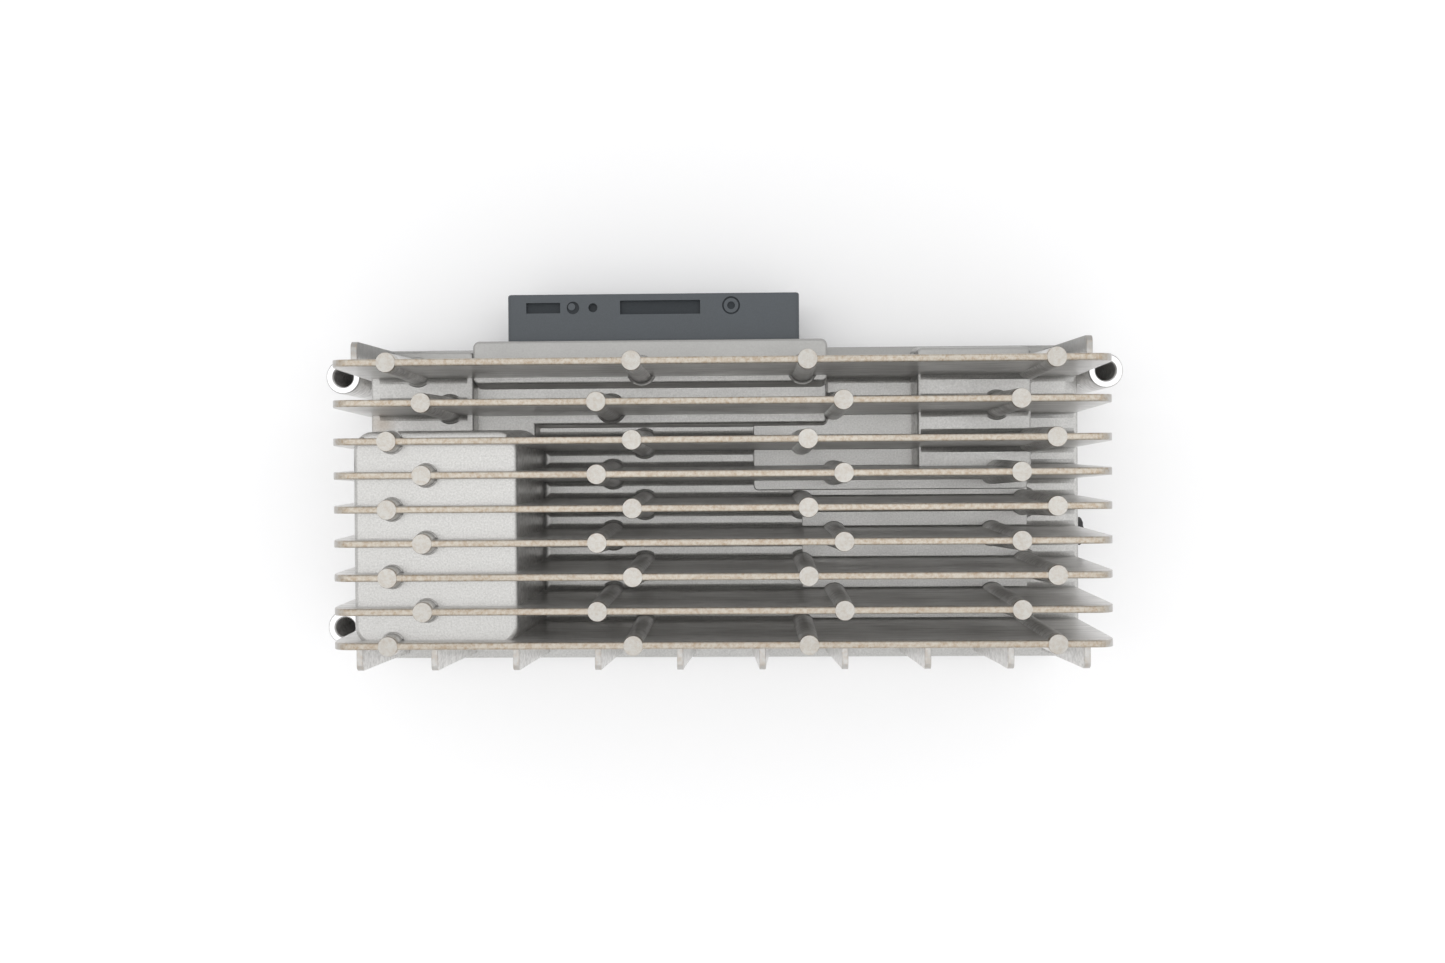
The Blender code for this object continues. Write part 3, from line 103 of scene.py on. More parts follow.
WEB_HALF = 3.5 * MM               # half the width of the webs that hold the tubes
WEB_TOP = 20.0 * MM
RIB_EDGE = 0.6 * MM               # round of the ribs' edges
RIB_TIP = 1.9 * MM
RIB_ROOT = 3.4 * MM
RIB_TOP = TOP - 2.0 * MM
RIB_CORNER = 1.8 * MM
RIB_SLOPE = 1.9 * MM              # the outer edge runs out this far towards the foot
RIB_PITCH = 24.9 * MM
FRONT_RIB_COUNT = 10
FRONT_RIB_REACH = 7.8 * MM
FRONT_RIB_INSET = 9.5 * MM        # outermost front ribs from the body's sides
REAR_RIB_REACH = 6.7 * MM
REAR_RIB_INSET = 8.5 * MM


def fin_rows():
    """Middles of the fins along Y, from rear to front."""
    rows = [FIRST_FIN]
    for pitch in REAR_PITCHES:
        rows.append(rows[-1] - pitch)
    while len(rows) < FIN_COUNT:
        rows.append(rows[-1] - FIN_PITCH)
    return rows


ROWS = fin_rows()
COLLAR_LEFT = HEADER[0].x - 5.2 * MM
COLLAR_RIGHT = HEADER[1].x + 3.4 * MM
COLLAR_REAR = BODY_REAR + 1.8 * MM
COLLAR_FRONT = COLLAR_REAR - 15.5 * MM
STRIP_FRONT = ROWS[1] - 5.4 * MM
TOWER_REAR = ROWS[2] + 3.2 * MM
TOWER_FRONT = ROWS[-1] - 0.45 * MM
RIGHT_PLATEAU = (BODY_RIGHT - 55.2 * MM, BODY_RIGHT - 18.0 * MM)
LOW_STEP_LEFT = 10.4 * MM
LOW_STEP_FRONT = ROWS[4] + 4.6 * MM
LOW_FLOOR_LEFT = 26.6 * MM
LOW_RIGHT = 102.0 * MM
LOW_RISE = 0.5 * MM               # rise of the low floor and of the tower's foot
RUST_SPOT = (BODY_LEFT + 6.5 * MM, ROWS[1] - 4.5 * MM, PLATEAU - MM)

# ---- sizes of the header, places along X from its block's left side ----------------------
FLANGE_SIDE = 5.6 * MM            # flange past the block
FLANGE_LIP = 1.6 * MM             # and above and below it
SOCKET_WALL = 2.0 * MM
HEADER_LEFT = HEADER[0].x + FLANGE_SIDE
HEADER_RIGHT = HEADER[1].x - FLANGE_SIDE
HEADER_END = HEADER[1].y
HEADER_TOP = HEADER[1].z - FLANGE_LIP
LIP_WIDTH = 0.9 * MM              # sunken edges along both sides of the top
LIP_DEPTH = 0.3 * MM
MARK_LINE = HEADER_END - 4.5 * MM
# the two long recesses: start, stop and half width
RECESSES = ((6.1 * MM, 17.5 * MM, 1.75 * MM), (37.6 * MM, 64.4 * MM, 2.3 * MM))
RECESS_DEPTH = 1.1 * MM
INSERT = (21.8 * MM, 2.1 * MM)    # place and radius, as for the next ones
PIP = (21.3 * MM, 1.2 * MM)
HOLE = (28.5 * MM, 1.5 * MM)
RING = (74.75 * MM, 3.0 * MM)
RING_CORE = (RING[0], 2.45 * MM)
RING_DOT = (RING[0], 1.3 * MM)
ROUND_MARK_SHIFT = 0.4 * MM       # pip and ring behind the marks' line
KEYS = (HEADER_LEFT + 12 * MM, HEADER_LEFT + 42 * MM, HEADER_RIGHT - 25 * MM,
        HEADER_RIGHT - 12 * MM)
KEY_LENGTH = 14.0 * MM
KEY_WIDTH = 1.6 * MM
KEY_HEIGHT = 1.2 * MM
HEADER_EDGE = 0.22 * MM
WAFER = (HEADER[0].y + 0.4 * MM, HEADER[0].y + 8.6 * MM)     # holds the pins, along Y

# ---- sizes of the small parts -----------------------------------------------------------
BEAD_ROWS = (-27 * MM, -9 * MM, 9 * MM, 27 * MM)
BEAD_LENGTH = 180.0 * MM
BEAD_WIDTH = 7.0 * MM
BEAD_DEPTH = 0.9 * MM
COVER_EDGE = 0.3 * MM
SCREWS = (("cover_screw_", 8, "Z"), ("board_screw_", 6, "Z"), ("header_screw_", 2, "Y"))
DRIVE_RADIUS = 0.5                # shares of the screw head's radius
DRIVE_DEPTH = 0.45
SCREW_EDGE = 0.08 * MM
NOTCH_COUNT = 6
NOTCH_RADIUS = 0.9 * MM
NOTCH_DEPTH = 1.0 * MM
VENT_EDGE = 0.12 * MM


# ---- mesh helpers ---------------------------------------------------------------------
def to_object(name, data):
    """Object from a bmesh, faces out; the bmesh is freed."""
    bmesh.ops.recalc_face_normals(data, faces=data.faces)
    mesh = bpy.data.meshes.new(name)
    data.to_mesh(mesh)
    data.free()
    made = bpy.data.objects.new(name, mesh)
    bpy.context.scene.collection.objects.link(made)
    return made


def loft(data, rings):
    """Closed solid through rings of equal length."""
    rows = [[data.verts.new(point) for point in ring] for ring in rings]
    count = len(rows[0])
    for lower, upper in zip(rows, rows[1:]):
        for index in range(count):
            following = (index + 1) % count
            data.faces.new((lower[index], lower[following], upper[following], upper[index]))
    data.faces.new(list(reversed(rows[0])))
    data.faces.new(rows[-1])


def arc(radius, start, turn, steps):
    """Offsets along an arc of the circle, from the angle start through turn."""
    angles = [start + turn * step / steps for step in range(steps + 1)]
    return [(radius * math.cos(angle), radius * math.sin(angle)) for angle in angles]


def outline(left, right, front, rear, radius, steps):
    """Rectangle in plan with round corners, counter-clockwise."""
    radius = max(radius, 0.05 * MM)
    corners = ((left + radius, front + radius, math.pi),
               (right - radius, front + radius, 1.5 * math.pi),
               (right - radius, rear - radius, 0.0),
               (left + radius, rear - radius, 0.5 * math.pi))
    return [(x + dx, y + dy) for x, y, start in corners
            for dx, dy in arc(radius, start, math.pi / 2, steps)]


def add_levels(data, box, radius, levels, steps=6):
    """Upright solid over a plan box; levels are (height, inset of the outline)."""
    left, right, front, rear = box
    rings = []
    for height, inset in levels:
        points = outline(left + inset, right - inset, front + inset, rear - inset, radius - inset,
                         steps)
        rings.append([Vector((x, y, height)) for x, y in points])
    loft(data, rings)


def rounded_levels(bottom, top, edge, lean=0.0, foot=0.0):
    """Levels of a wall: a concave foot, a lean that ends at the outline, a round edge."""
    steps = 4
    levels = [(bottom - WALL / 2, -lean - foot)]
    if foot > 0.0:
        for dx, dz in arc(foot, 1.5 * math.pi, -math.pi / 2, steps):
            levels.append((bottom + foot + dz + 0.02 * MM, -lean - foot - dx))
    for step in range(steps + 1):
        angle = math.pi / 2 * step / steps
        levels.append((top - edge + edge * math.sin(angle), edge * (1 - math.cos(angle))))
    return levels


def add_turned(data, centre, levels, sides, axis="Z"):
    """Turned solid about Z or X; levels are (distance along the axis, radius)."""
    rings = []
    for distance, radius in levels:
        ring = []
        for side in range(sides):
            angle = 2 * math.pi * (side + 0.5) / sides
            u, v = radius * math.cos(angle), radius * math.sin(angle)
            offset = (u, v, distance) if axis == "Z" else (distance, u, v)
            ring.append(Vector(centre) + Vector(offset))
        rings.append(ring)
    loft(data, rings)


def box_solid(name, low, high):
    """Closed box between two corners."""
    data = bmesh.new()
    add_levels(data, (low[0], high[0], low[1], high[1]), 0.0, [(low[2], 0.0), (high[2], 0.0)], 1)
    return to_object(name, data)


def bake(target, modifier):
    """Keeps a modifier's result as the piece's mesh."""
    graph = bpy.context.evaluated_depsgraph_get()
    result = bpy.data.meshes.new_from_object(target.evaluated_get(graph))
    target.modifiers.remove(modifier)
    former = target.data
    target.data = result
    bpy.data.meshes.remove(former)


def boolean(target, tool, operation):
    """Applies a Boolean on closed meshes and removes the tool."""
    modifier = target.modifiers.new("join", "BOOLEAN")
    modifier.operation = operation
    modifier.solver = "MANIFOLD"
    modifier.object = tool
    bake(target, modifier)
    bpy.data.objects.remove(tool)


def join(target, tool):
    """Adds a closed solid to a piece."""
    boolean(target, tool, "UNION")


def cut(target, tool):
    """Takes a closed solid out of a piece."""
    boolean(target, tool, "DIFFERENCE")


def round_edges(target, width, segments, angle):
    """Bevel on a piece's edges that are sharper than the angle, in degrees."""
    modifier = target.modifiers.new("edges", "BEVEL")
    modifier.width = width
    modifier.segments = segments
    modifier.limit_method = "ANGLE"
    modifier.angle_limit = math.radians(angle)
    return modifier


def bevelled(target, width, segments=2):
    """Rounds a piece's sharp edges and keeps the result."""
    bake(target, round_edges(target, width, segments, 35))
    return target


def crease_level_faces(target):
    """Keeps level faces apart from the rounds beside them, so that they shade flat."""
    level = [abs(face.normal.z) > 0.9999 for face in target.data.polygons]
    beside = {}
    for face in target.data.polygons:
        for key in face.edge_keys:
            beside.setdefault(key, set()).add(level[face.index])
    for edge in target.data.edges:
        if len(beside.get(edge.key, ())) == 2:
            edge.use_edge_sharp = True


def finish_piece(target, surfaces, nodes):
    """Shades a piece, gives it its materials and ties it to the frame."""
    target.data.materials.clear()
    for look in surfaces:
        target.data.materials.append(look)
    target.data.shade_smooth()
    target.data.set_sharp_from_angle(angle=math.radians(32))
    crease_level_faces(target)
    weighted = target.modifiers.new("flat faces", "WEIGHTED_NORMAL")
    weighted.keep_sharp = True
    weighted.mode = "FACE_AREA"
    weighted.weight = 100
    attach(target, "root")
    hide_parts(*nodes)


# ---- materials ------------------------------------------------------------------------
def surface(name, colour, roughness, metallic=0.0):
    """Principled material with its coordinates, in metres along the piece's axes."""
    made = bpy.data.materials.new(name)
    made.use_nodes = True
    tree = made.node_tree
    shader = tree.nodes["Principled BSDF"]
    shader.inputs["Base Color"].default_value = (*colour, 1.0)
    shader.inputs["Roughness"].default_value = roughness
    shader.inputs["Metallic"].default_value = metallic
    place = tree.nodes.new("ShaderNodeTexCoord").outputs["Object"]
    return made, tree, shader, place


def stretched(tree, place, scale):
    """Coordinates scaled per axis; a small scale draws the pattern out along its axis."""
    mapping = tree.nodes.new("ShaderNodeMapping")
    mapping.inputs["Scale"].default_value = scale
    tree.links.new(place, mapping.inputs["Vector"])
    return mapping.outputs["Vector"]


def split(tree, vector):
    """The three parts of a vector, by axis letter."""
    node = tree.nodes.new("ShaderNodeSeparateXYZ")
    tree.links.new(vector, node.inputs["Vector"])
    return node.outputs


def noise(tree, place, size, detail=4.0, roughness=0.55):
    """Noise whose features are about this size, in metres."""
    node = tree.nodes.new("ShaderNodeTexNoise")
    node.inputs["Scale"].default_value = 1.0 / size
    node.inputs["Detail"].default_value = detail
    node.inputs["Roughness"].default_value = roughness
    tree.links.new(place, node.inputs["Vector"])
    return node.outputs["Fac"]


def ranged(tree, value, low, high, to_low, to_high):
    """Maps low..high onto to_low..to_high and holds the ends."""
    node = tree.nodes.new("ShaderNodeMapRange")
    node.inputs["From Min"].default_value = low
    node.inputs["From Max"].default_value = high
    node.inputs["To Min"].default_value = to_low
    node.inputs["To Max"].default_value = to_high
    tree.links.new(value, node.inputs["Value"])
    return node.outputs["Result"]


def maths(tree, operation, first, second):
    """Arithmetic on a socket and a second socket or a float."""
    node = tree.nodes.new("ShaderNodeMath")
    node.operation = operation
    tree.links.new(first, node.inputs[0])
    if isinstance(second, float):
        node.inputs[1].default_value = second
    else:
        tree.links.new(second, node.inputs[1])
    return node.outputs["Value"]


def blended(tree, factor, first, second):
    """Mix of two colours, each a tuple or a socket."""
    node = tree.nodes.new("ShaderNodeMix")
    node.data_type = "RGBA"
    tree.links.new(factor, node.inputs["Factor"])
    for socket, value in (("A", first), ("B", second)):
        target = [item for item in node.inputs if item.name == socket and item.type == "RGBA"][0]
        if isinstance(value, tuple):
            target.default_value = (*value, 1.0)
        else:
            tree.links.new(value, target)
    return [item for item in node.outputs if item.type == "RGBA"][0]


def bumped(tree, shader, height, distance, strength=1.0):
    """Relief of this height, in metres, under the shader."""
    node = tree.nodes.new("ShaderNodeBump")
    node.inputs["Distance"].default_value = distance
    node.inputs["Strength"].default_value = strength
    tree.links.new(height, node.inputs["Height"])
    tree.links.new(node.outputs["Normal"], shader.inputs["Normal"])


# Paler colours for steep faces: a painted highlight that makes the fin flanks look lit.
PAINTED_FLANK_DARK = (0.58, 0.57, 0.555)
PAINTED_FLANK_LIGHT = (0.84, 0.83, 0.815)
OXIDE = (0.30, 0.22, 0.145)


def skin_colour(tree, place, grain, clouds, dark, light):
    """Cloudy skin, with flanks painted paler as a painted highlight and streaked along X, darker
    behind the fins.
    """
    both = maths(tree, "ADD", maths(tree, "MULTIPLY", grain, 1.4),
                 maths(tree, "MULTIPLY", clouds, 0.6))
    metal = blended(tree, ranged(tree, both, 0.7, 1.3, 0.0, 1.0), dark, light)
    facing = tree.nodes.new("ShaderNodeNewGeometry").outputs["True Normal"]
    steepness = maths(tree, "ABSOLUTE", split(tree, facing)["Z"], 0.0)
    # painted highlight: steeper faces take more of the paler flank colours
    flank = ranged(tree, steepness, 0.1, 0.5, 1.0, 0.0)
    flank_streaks = noise(tree, stretched(tree, place, (0.1, 1.0, 1.0)), 1.6 * MM, 4.0, 0.6)
    painted_flank_highlight = blended(tree, ranged(tree, flank_streaks, 0.35, 0.65, 0.0, 1.0), PAINTED_FLANK_DARK, PAINTED_FLANK_LIGHT)
    metal = blended(tree, flank, metal, painted_flank_highlight)
    behind = ranged(tree, split(tree, place)["Y"], ROWS[0] + 1.4 * MM, ROWS[0] + 3.0 * MM,
                    0.0, 0.75)
    return blended(tree, behind, metal, tuple(channel * 0.72 for channel in dark))


def oxide_share(tree, place, clouds, stain_share):
    """Brown spots near the fins' tips and one rusty spot beside the left plateau."""
    height = split(tree, place)["Z"]
    below_tip = ranged(tree, height, TOP - 4.5 * MM, TOP - 0.4 * MM, 0.0, 1.0)
    spots = ranged(tree, noise(tree, place, 1.1 * MM, 6.0, 0.75), 0.42, 0.66, 0.0, stain_share)
    reach = tree.nodes.new("ShaderNodeVectorMath")
    reach.operation = "DISTANCE"
    reach.inputs[1].default_value = RUST_SPOT
    tree.links.new(place, reach.inputs[0])
    rust = ranged(tree, reach.outputs["Value"], 1.5 * MM, 5.5 * MM, 0.75, 0.0)
    return maths(tree, "MAXIMUM", maths(tree, "MULTIPLY", below_tip, spots),
                 maths(tree, "MULTIPLY", rust, clouds))


def cast_metal(name, dark, light, tip, stain_share):
    """Die-cast aluminium: fine skin, cloudy tone, brown oxide along the tips of the fins."""
    made, tree, shader, place = surface(name, light, 0.4, 0.72)
    grain = noise(tree, place, 0.55 * MM, 3.0, 0.6)
    clouds = noise(tree, place, 16.0 * MM, 4.0, 0.5)
    metal = skin_colour(tree, place, grain, clouds, dark, light)
    near_tip = ranged(tree, split(tree, place)["Z"], TOP - 1.6 * MM, TOP - 0.3 * MM, 0.0, 1.0)
    metal = blended(tree, near_tip, metal, tip)
    oxide = oxide_share(tree, place, clouds, stain_share)
    tree.links.new(blended(tree, oxide, metal, OXIDE), shader.inputs["Base Color"])
    tree.links.new(ranged(tree, clouds, 0.3, 0.7, 0.28, 0.38), shader.inputs["Roughness"])
    bumped(tree, shader, grain, 0.06 * MM, 0.7)
    return made


def machined_metal(name, colour):
    """Turned face: bright, with fine tool marks."""
    made, tree, shader, place = surface(name, colour, 0.3, 0.95)
    marks = noise(tree, stretched(tree, place, (1.0, 6.0, 1.0)), 0.6 * MM, 3.0)
    tree.links.new(ranged(tree, marks, 0.3, 0.7, 0.24, 0.4), shader.inputs["Roughness"])
    shade = tuple(channel * 0.85 for channel in colour)
    tree.links.new(blended(tree, marks, shade, colour), shader.inputs["Base Color"])
    bumped(tree, shader, marks, 0.02 * MM)
    return made


def rolled_metal(name, colour):
    """Sheet with a grain along X and faint handling marks."""
    made, tree, shader, place = surface(name, colour, 0.4, 0.95)
    lines = noise(tree, stretched(tree, place, (0.02, 1.0, 1.0)), 0.35 * MM, 4.0)
    clouds = noise(tree, place, 22.0 * MM, 4.0)
    shade = tuple(channel * 0.8 for channel in colour)
    tone = ranged(tree, maths(tree, "ADD", lines, clouds), 0.7, 1.3, 0.0, 1.0)
    tree.links.new(blended(tree, tone, shade, colour), shader.inputs["Base Color"])
    tree.links.new(ranged(tree, clouds, 0.3, 0.7, 0.34, 0.5), shader.inputs["Roughness"])
    bumped(tree, shader, lines, 0.015 * MM)
    return made


def moulded(name, colour, roughness, grain_size=0.35 * MM):
    """Moulded plastic, rubber, epoxy or ferrite: fine texture and faint tone changes."""
    made, tree, shader, place = surface(name, colour, roughness)
    grain = noise(tree, place, grain_size, 3.0, 0.65)
    clouds = noise(tree, place, 14.0 * MM, 4.0)
    pale = tuple(min(1.0, channel * 1.25) for channel in colour)
    tone = ranged(tree, maths(tree, "ADD", grain, clouds), 0.7, 1.3, 0.0, 1.0)
    tree.links.new(blended(tree, tone, colour, pale), shader.inputs["Base Color"])
    tree.links.new(ranged(tree, clouds, 0.3, 0.7, roughness - 0.05, roughness + 0.08),
                   shader.inputs["Roughness"])
    bumped(tree, shader, grain, 0.03 * MM)
    return made


def plated(name, colour, roughness):
    """Plated or drawn metal: soft clouds and fine scratches."""
    made, tree, shader, place = surface(name, colour, roughness, 0.95)
    scratches = noise(tree, stretched(tree, place, (1.0, 1.0, 0.15)), 0.25 * MM, 4.0)
    clouds = noise(tree, place, 3.0 * MM, 4.0)
    shade = tuple(channel * 0.75 for channel in colour)
    tree.links.new(blended(tree, clouds, shade, colour), shader.inputs["Base Color"])
    tree.links.new(ranged(tree, scratches, 0.3, 0.7, roughness - 0.06, roughness + 0.1),
                   shader.inputs["Roughness"])
    bumped(tree, shader, scratches, 0.01 * MM)
    return made


def wound(name, colour, pitch, metallic):
    """Layer of wire or tape: fine ridges at the wire's pitch."""
    made, tree, shader, place = surface(name, colour, 0.35, metallic)
    ridges = tree.nodes.new("ShaderNodeTexWave")
    ridges.bands_direction = "DIAGONAL"
    ridges.inputs["Scale"].default_value = 0.3 / pitch
    ridges.inputs["Distortion"].default_value = 0.4
    tree.links.new(place, ridges.inputs["Vector"])
    shade = tuple(channel * 0.45 for channel in colour)
    tree.links.new(blended(tree, ridges.outputs["Fac"], shade, colour),
                   shader.inputs["Base Color"])
    clouds = noise(tree, place, 2.0 * MM, 3.0)
    tree.links.new(ranged(tree, clouds, 0.3, 0.7, 0.28, 0.45), shader.inputs["Roughness"])
    bumped(tree, shader, ridges.outputs["Fac"], 0.1 * MM)
    return made


def clear_glass(name):
    """Clear tube with a slightly wavy skin."""
    made, tree, shader, place = surface(name, (0.85, 0.9, 0.9), 0.05)
    shader.inputs["Transmission Weight"].default_value = 0.9
    ripple = noise(tree, place, 4.0 * MM, 2.0)
    tree.links.new(ranged(tree, ripple, 0.3, 0.7, 0.03, 0.1), shader.inputs["Roughness"])
    return made


LOOKS = {
    "cast": cast_metal("cast_skin", (0.42, 0.416, 0.405), (0.57, 0.565, 0.553),
                       (0.46, 0.425, 0.37), 0.85),
    "pin mark": cast_metal("pin_mark_face", (0.47, 0.465, 0.45), (0.62, 0.61, 0.59),
                           (0.46, 0.45, 0.425), 0.4),
    "machined": machined_metal("machined_face", (0.84, 0.84, 0.85)),
    "sheet": rolled_metal("cover_sheet", (0.66, 0.66, 0.66)),
    "rubber": moulded("rubber_black", (0.02, 0.02, 0.02), 0.75),
    "steel": plated("zinc_plate", (0.66, 0.67, 0.69), 0.32),
    "header": moulded("header_grain", (0.062, 0.071, 0.080), 0.5),
    # darker copy of the header's plastic, painted shade for the recesses on its top
    "header recess shade": moulded("recess_painted_shade", (0.020, 0.025, 0.030), 0.7, 0.5 * MM),
    "black plastic": moulded("plain_black", (0.03, 0.03, 0.03), 0.55),
    "board": moulded("solder_mask", (0.015, 0.12, 0.04), 0.35, 1.2 * MM),
    "tin": plated("tin_plate", (0.76, 0.75, 0.72), 0.28),
    "epoxy": moulded("epoxy_black", (0.028, 0.028, 0.028), 0.55),
    "pad": moulded("silicone_grey", (0.33, 0.36, 0.40), 0.7),
    "ferrite": moulded("ferrite_grey", (0.055, 0.055, 0.06), 0.6, 0.8 * MM),
    "bobbin": moulded("bobbin_black", (0.035, 0.035, 0.035), 0.5),
    "copper": wound("copper_turns", (0.60, 0.24, 0.09), 1.1 * MM, 0.8),
    "tape": wound("tape_layers", (0.75, 0.55, 0.08), 4.0 * MM, 0.0),
    "can": moulded("can_sleeve", (0.03, 0.04, 0.085), 0.3),
    "film": moulded("film_box_yellow", (0.72, 0.55, 0.09), 0.45),
    "glass": clear_glass("fuse_tube"),
    "shunt": plated("shunt_strip", (0.60, 0.40, 0.25), 0.35),
}


# ---- casting --------------------------------------------------------------------------
def fin_half(height):
    """Half of a fin's thickness at this height."""
    return (FIN_TIP + (FIN_ROOT - FIN_TIP) * (TOP - height) / FIN_HEIGHT) / 2


def fin_section(top, bottom):
    """Section of a fin from its foot up and over its rounded tip: (offset, height)."""
    half = fin_half(top)
    side = [(-fin_half(bottom), bottom), (-half, top - FIN_TIP_ROUND)]
    side += [(-half + FIN_TIP_ROUND + dx, top - FIN_TIP_ROUND + dz)
             for dx, dz in arc(FIN_TIP_ROUND, math.pi, -math.pi / 2, 3)][1:]
    return side + [(-offset, height) for offset, height in reversed(side)]


def fins():
    """All fins: tapered, with a round tip and round upper corners."""
    data = bmesh.new()
    end = FIN_LENGTH / 2
    top = TOP - PIN_MARK_RISE
    stations = [(end - FIN_CORNER + dx, top - FIN_CORNER + dz)
                for dx, dz in arc(FIN_CORNER, math.pi / 2, -math.pi / 2, 8)]
    stations = [(-x, z) for x, z in reversed(stations)] + stations
    for row in ROWS:
        rings = []
        for x, height in stations:
            section = fin_section(height, FLOOR - WALL / 2)
            rings.append([Vector((x, row + offset, z)) for offset, z in section])
        loft(data, rings)
    return to_object("fins", data)


def surface_under(x, y):
    """Height of the ground from which a post rises."""
    if TOWER_LEFT < x < TOWER_RIGHT and TOWER_FRONT < y < TOWER_REAR:
        return TOWER_TOP
    if RIGHT_PLATEAU[0] < x < RIGHT_PLATEAU[1] - WALL and y > ROWS[3] + WALL:
        return PLATEAU
    if x < COLLAR_LEFT and y > TOWER_REAR:
        return PLATEAU
    if x < COLLAR_RIGHT and y > COLLAR_FRONT:
        return COLLAR_TOP
    if x < COLLAR_RIGHT and y > STRIP_FRONT:
        return STRIP
    return FLOOR


def posts():
    """Ejector posts with a filleted foot and a flat mark above the fins' tips."""
    data = bmesh.new()
    spread = POST_ROOT_RADIUS - POST_TIP_RADIUS
    for index, row in enumerate(ROWS):
        for offset in (ODD_ROW_POSTS if index % 2 == 0 else EVEN_ROW_POSTS):
            for x in (-offset, offset):
                ground = surface_under(x, row)
                shaft = POST_TIP_RADIUS + spread * (TOP - ground) / FIN_HEIGHT
                fillet = min(0.6 * FOOT_ROUND, (TOP - ground) / 9)
                levels = [(FLOOR - WALL / 2, shaft), (ground - WALL / 3, shaft)]
                levels += [(ground + fillet + dz + 0.03 * MM, shaft + fillet + dx)
                           for dx, dz in arc(fillet, 1.5 * math.pi, -math.pi / 2, 4)]
                levels += [(TOP - 0.25 * MM, POST_TIP_RADIUS),
                           (TOP, POST_TIP_RADIUS - 0.12 * MM)]
                add_turned(data, (x, row, 0.0), levels, POST_SIDES)
    return to_object("posts", data)


def fin_feet(ground, left, right, rows):
    """Fillets at both sides of the fins where they rise from a flat area."""
    data = bmesh.new()
    for row in rows:
        shaft = fin_half(ground + FOOT_ROUND)
        side = [(-shaft - FOOT_ROUND, ground - WALL / 4)]
        side += [(-shaft - FOOT_ROUND - dx, ground + FOOT_ROUND + dz + 0.02 * MM)
                 for dx, dz in arc(FOOT_ROUND, 1.5 * math.pi, -math.pi / 2, 4)]
        section = side + [(-offset, height) for offset, height in reversed(side)]
        loft(data, [[Vector((x, row + offset, z)) for offset, z in section]
                    for x in (left, right)])
    return to_object("fin_feet", data)


def ribs():
    """Front ribs and the two rear corner ribs."""
    data = bmesh.new()
    middle = (FRONT_RIB_COUNT - 1) / 2
    limit = BODY_RIGHT - FRONT_RIB_INSET
    for index in range(FRONT_RIB_COUNT):
        x = max(-limit, min(limit, (index - middle) * RIB_PITCH))
        add_rib(data, x, ROWS[-1], ROWS[-1] - FRONT_RIB_REACH)
    for x in (BODY_LEFT + REAR_RIB_INSET, BODY_RIGHT - REAR_RIB_INSET):
        add_rib(data, x, ROWS[0], ROWS[0] + REAR_RIB_REACH)
    return to_object("ribs", data)


def rib_half(z, bottom):
    """Half of a rib's thickness at this height, flared at the foot."""
    half = (RIB_TIP + (RIB_ROOT - RIB_TIP) * (RIB_TOP - z) / (RIB_TOP - bottom)) / 2
    flare = FOOT_ROUND
    if z > FLOOR:
        flare = FOOT_ROUND * max(0.0, 1 - (z - FLOOR) / FOOT_ROUND) ** 2
    return half + flare * 0.6


def add_rib(data, x, inner, outer):
    """Upright rib along Y: its outer edge slopes out to the foot, its top corner is round."""
    way = 1 if outer > inner else -1
    edge = BODY_REAR if way > 0 else -BODY_FRONT
    bottom = FLOOR - WALL / 2
    foot = min(RIB_SLOPE + FOOT_ROUND, edge - way * outer - BODY_EDGE)
    fillet = min(FOOT_ROUND, foot * 0.6)
    profile = [(inner, bottom), (outer + way * foot, bottom)]
    profile += [(outer + way * (foot + dx), FLOOR - RIM_DROP + fillet + dz)
                for dx, dz in arc(fillet, 1.5 * math.pi, -math.pi / 2, 4)]
    profile += [(outer + way * (dx - RIB_CORNER), RIB_TOP - RIB_CORNER + dz)
                for dx, dz in arc(RIB_CORNER, 0.0, math.pi / 2, 5)]
    profile.append((inner, RIB_TOP))
    loft(data, [[Vector((x + side * rib_half(z, bottom), y, z)) for y, z in profile]
                for side in (-1, 1)])


def tube_places():
    """Middles of the three bolt tubes; the front right corner has none."""
    return [(-TUBE_X, TUBE_Y), (TUBE_X, TUBE_Y), (-TUBE_X, -TUBE_Y)]


def tubes():
    """Bolt tubes with rounded ends, still without their holes."""
    data = bmesh.new()
    levels = [(0.0, TUBE_RADIUS - TUBE_EDGE), (TUBE_EDGE, TUBE_RADIUS),
              (TUBE_TOP - TUBE_EDGE, TUBE_RADIUS), (TUBE_TOP, TUBE_RADIUS - TUBE_EDGE)]
    for x, y in tube_places():
        add_turned(data, (x, y, 0.0), levels, TUBE_SIDES)
    return to_object("tubes", data)


def webs():
    """Webs that hold the tubes, with round upper edges."""
    data = bmesh.new()
    levels = rounded_levels(RIM + WALL / 2, WEB_TOP, 0.25 * MM)
    for x, y in tube_places():
        inner = (BODY_RIGHT - WALL / 2) * (1 if x > 0 else -1)
        box = (min(x, inner), max(x, inner), y - WEB_HALF, y + WEB_HALF)
        add_levels(data, box, 0.3 * MM, levels)
    return to_object("webs", data)


def bolt_holes():
    """Through holes of the tubes, chamfered at both ends."""
    data = bmesh.new()
    wide = TUBE_HOLE_RADIUS + HOLE_CHAMFER + WALL
    levels = [(-WALL, wide), (HOLE_CHAMFER, TUBE_HOLE_RADIUS),
              (TUBE_TOP - HOLE_CHAMFER, TUBE_HOLE_RADIUS), (TUBE_TOP + WALL, wide)]
    for x, y in tube_places():
        add_turned(data, (x, y, 0.0), levels, TUBE_SIDES)
    return to_object("bolt_holes", data)


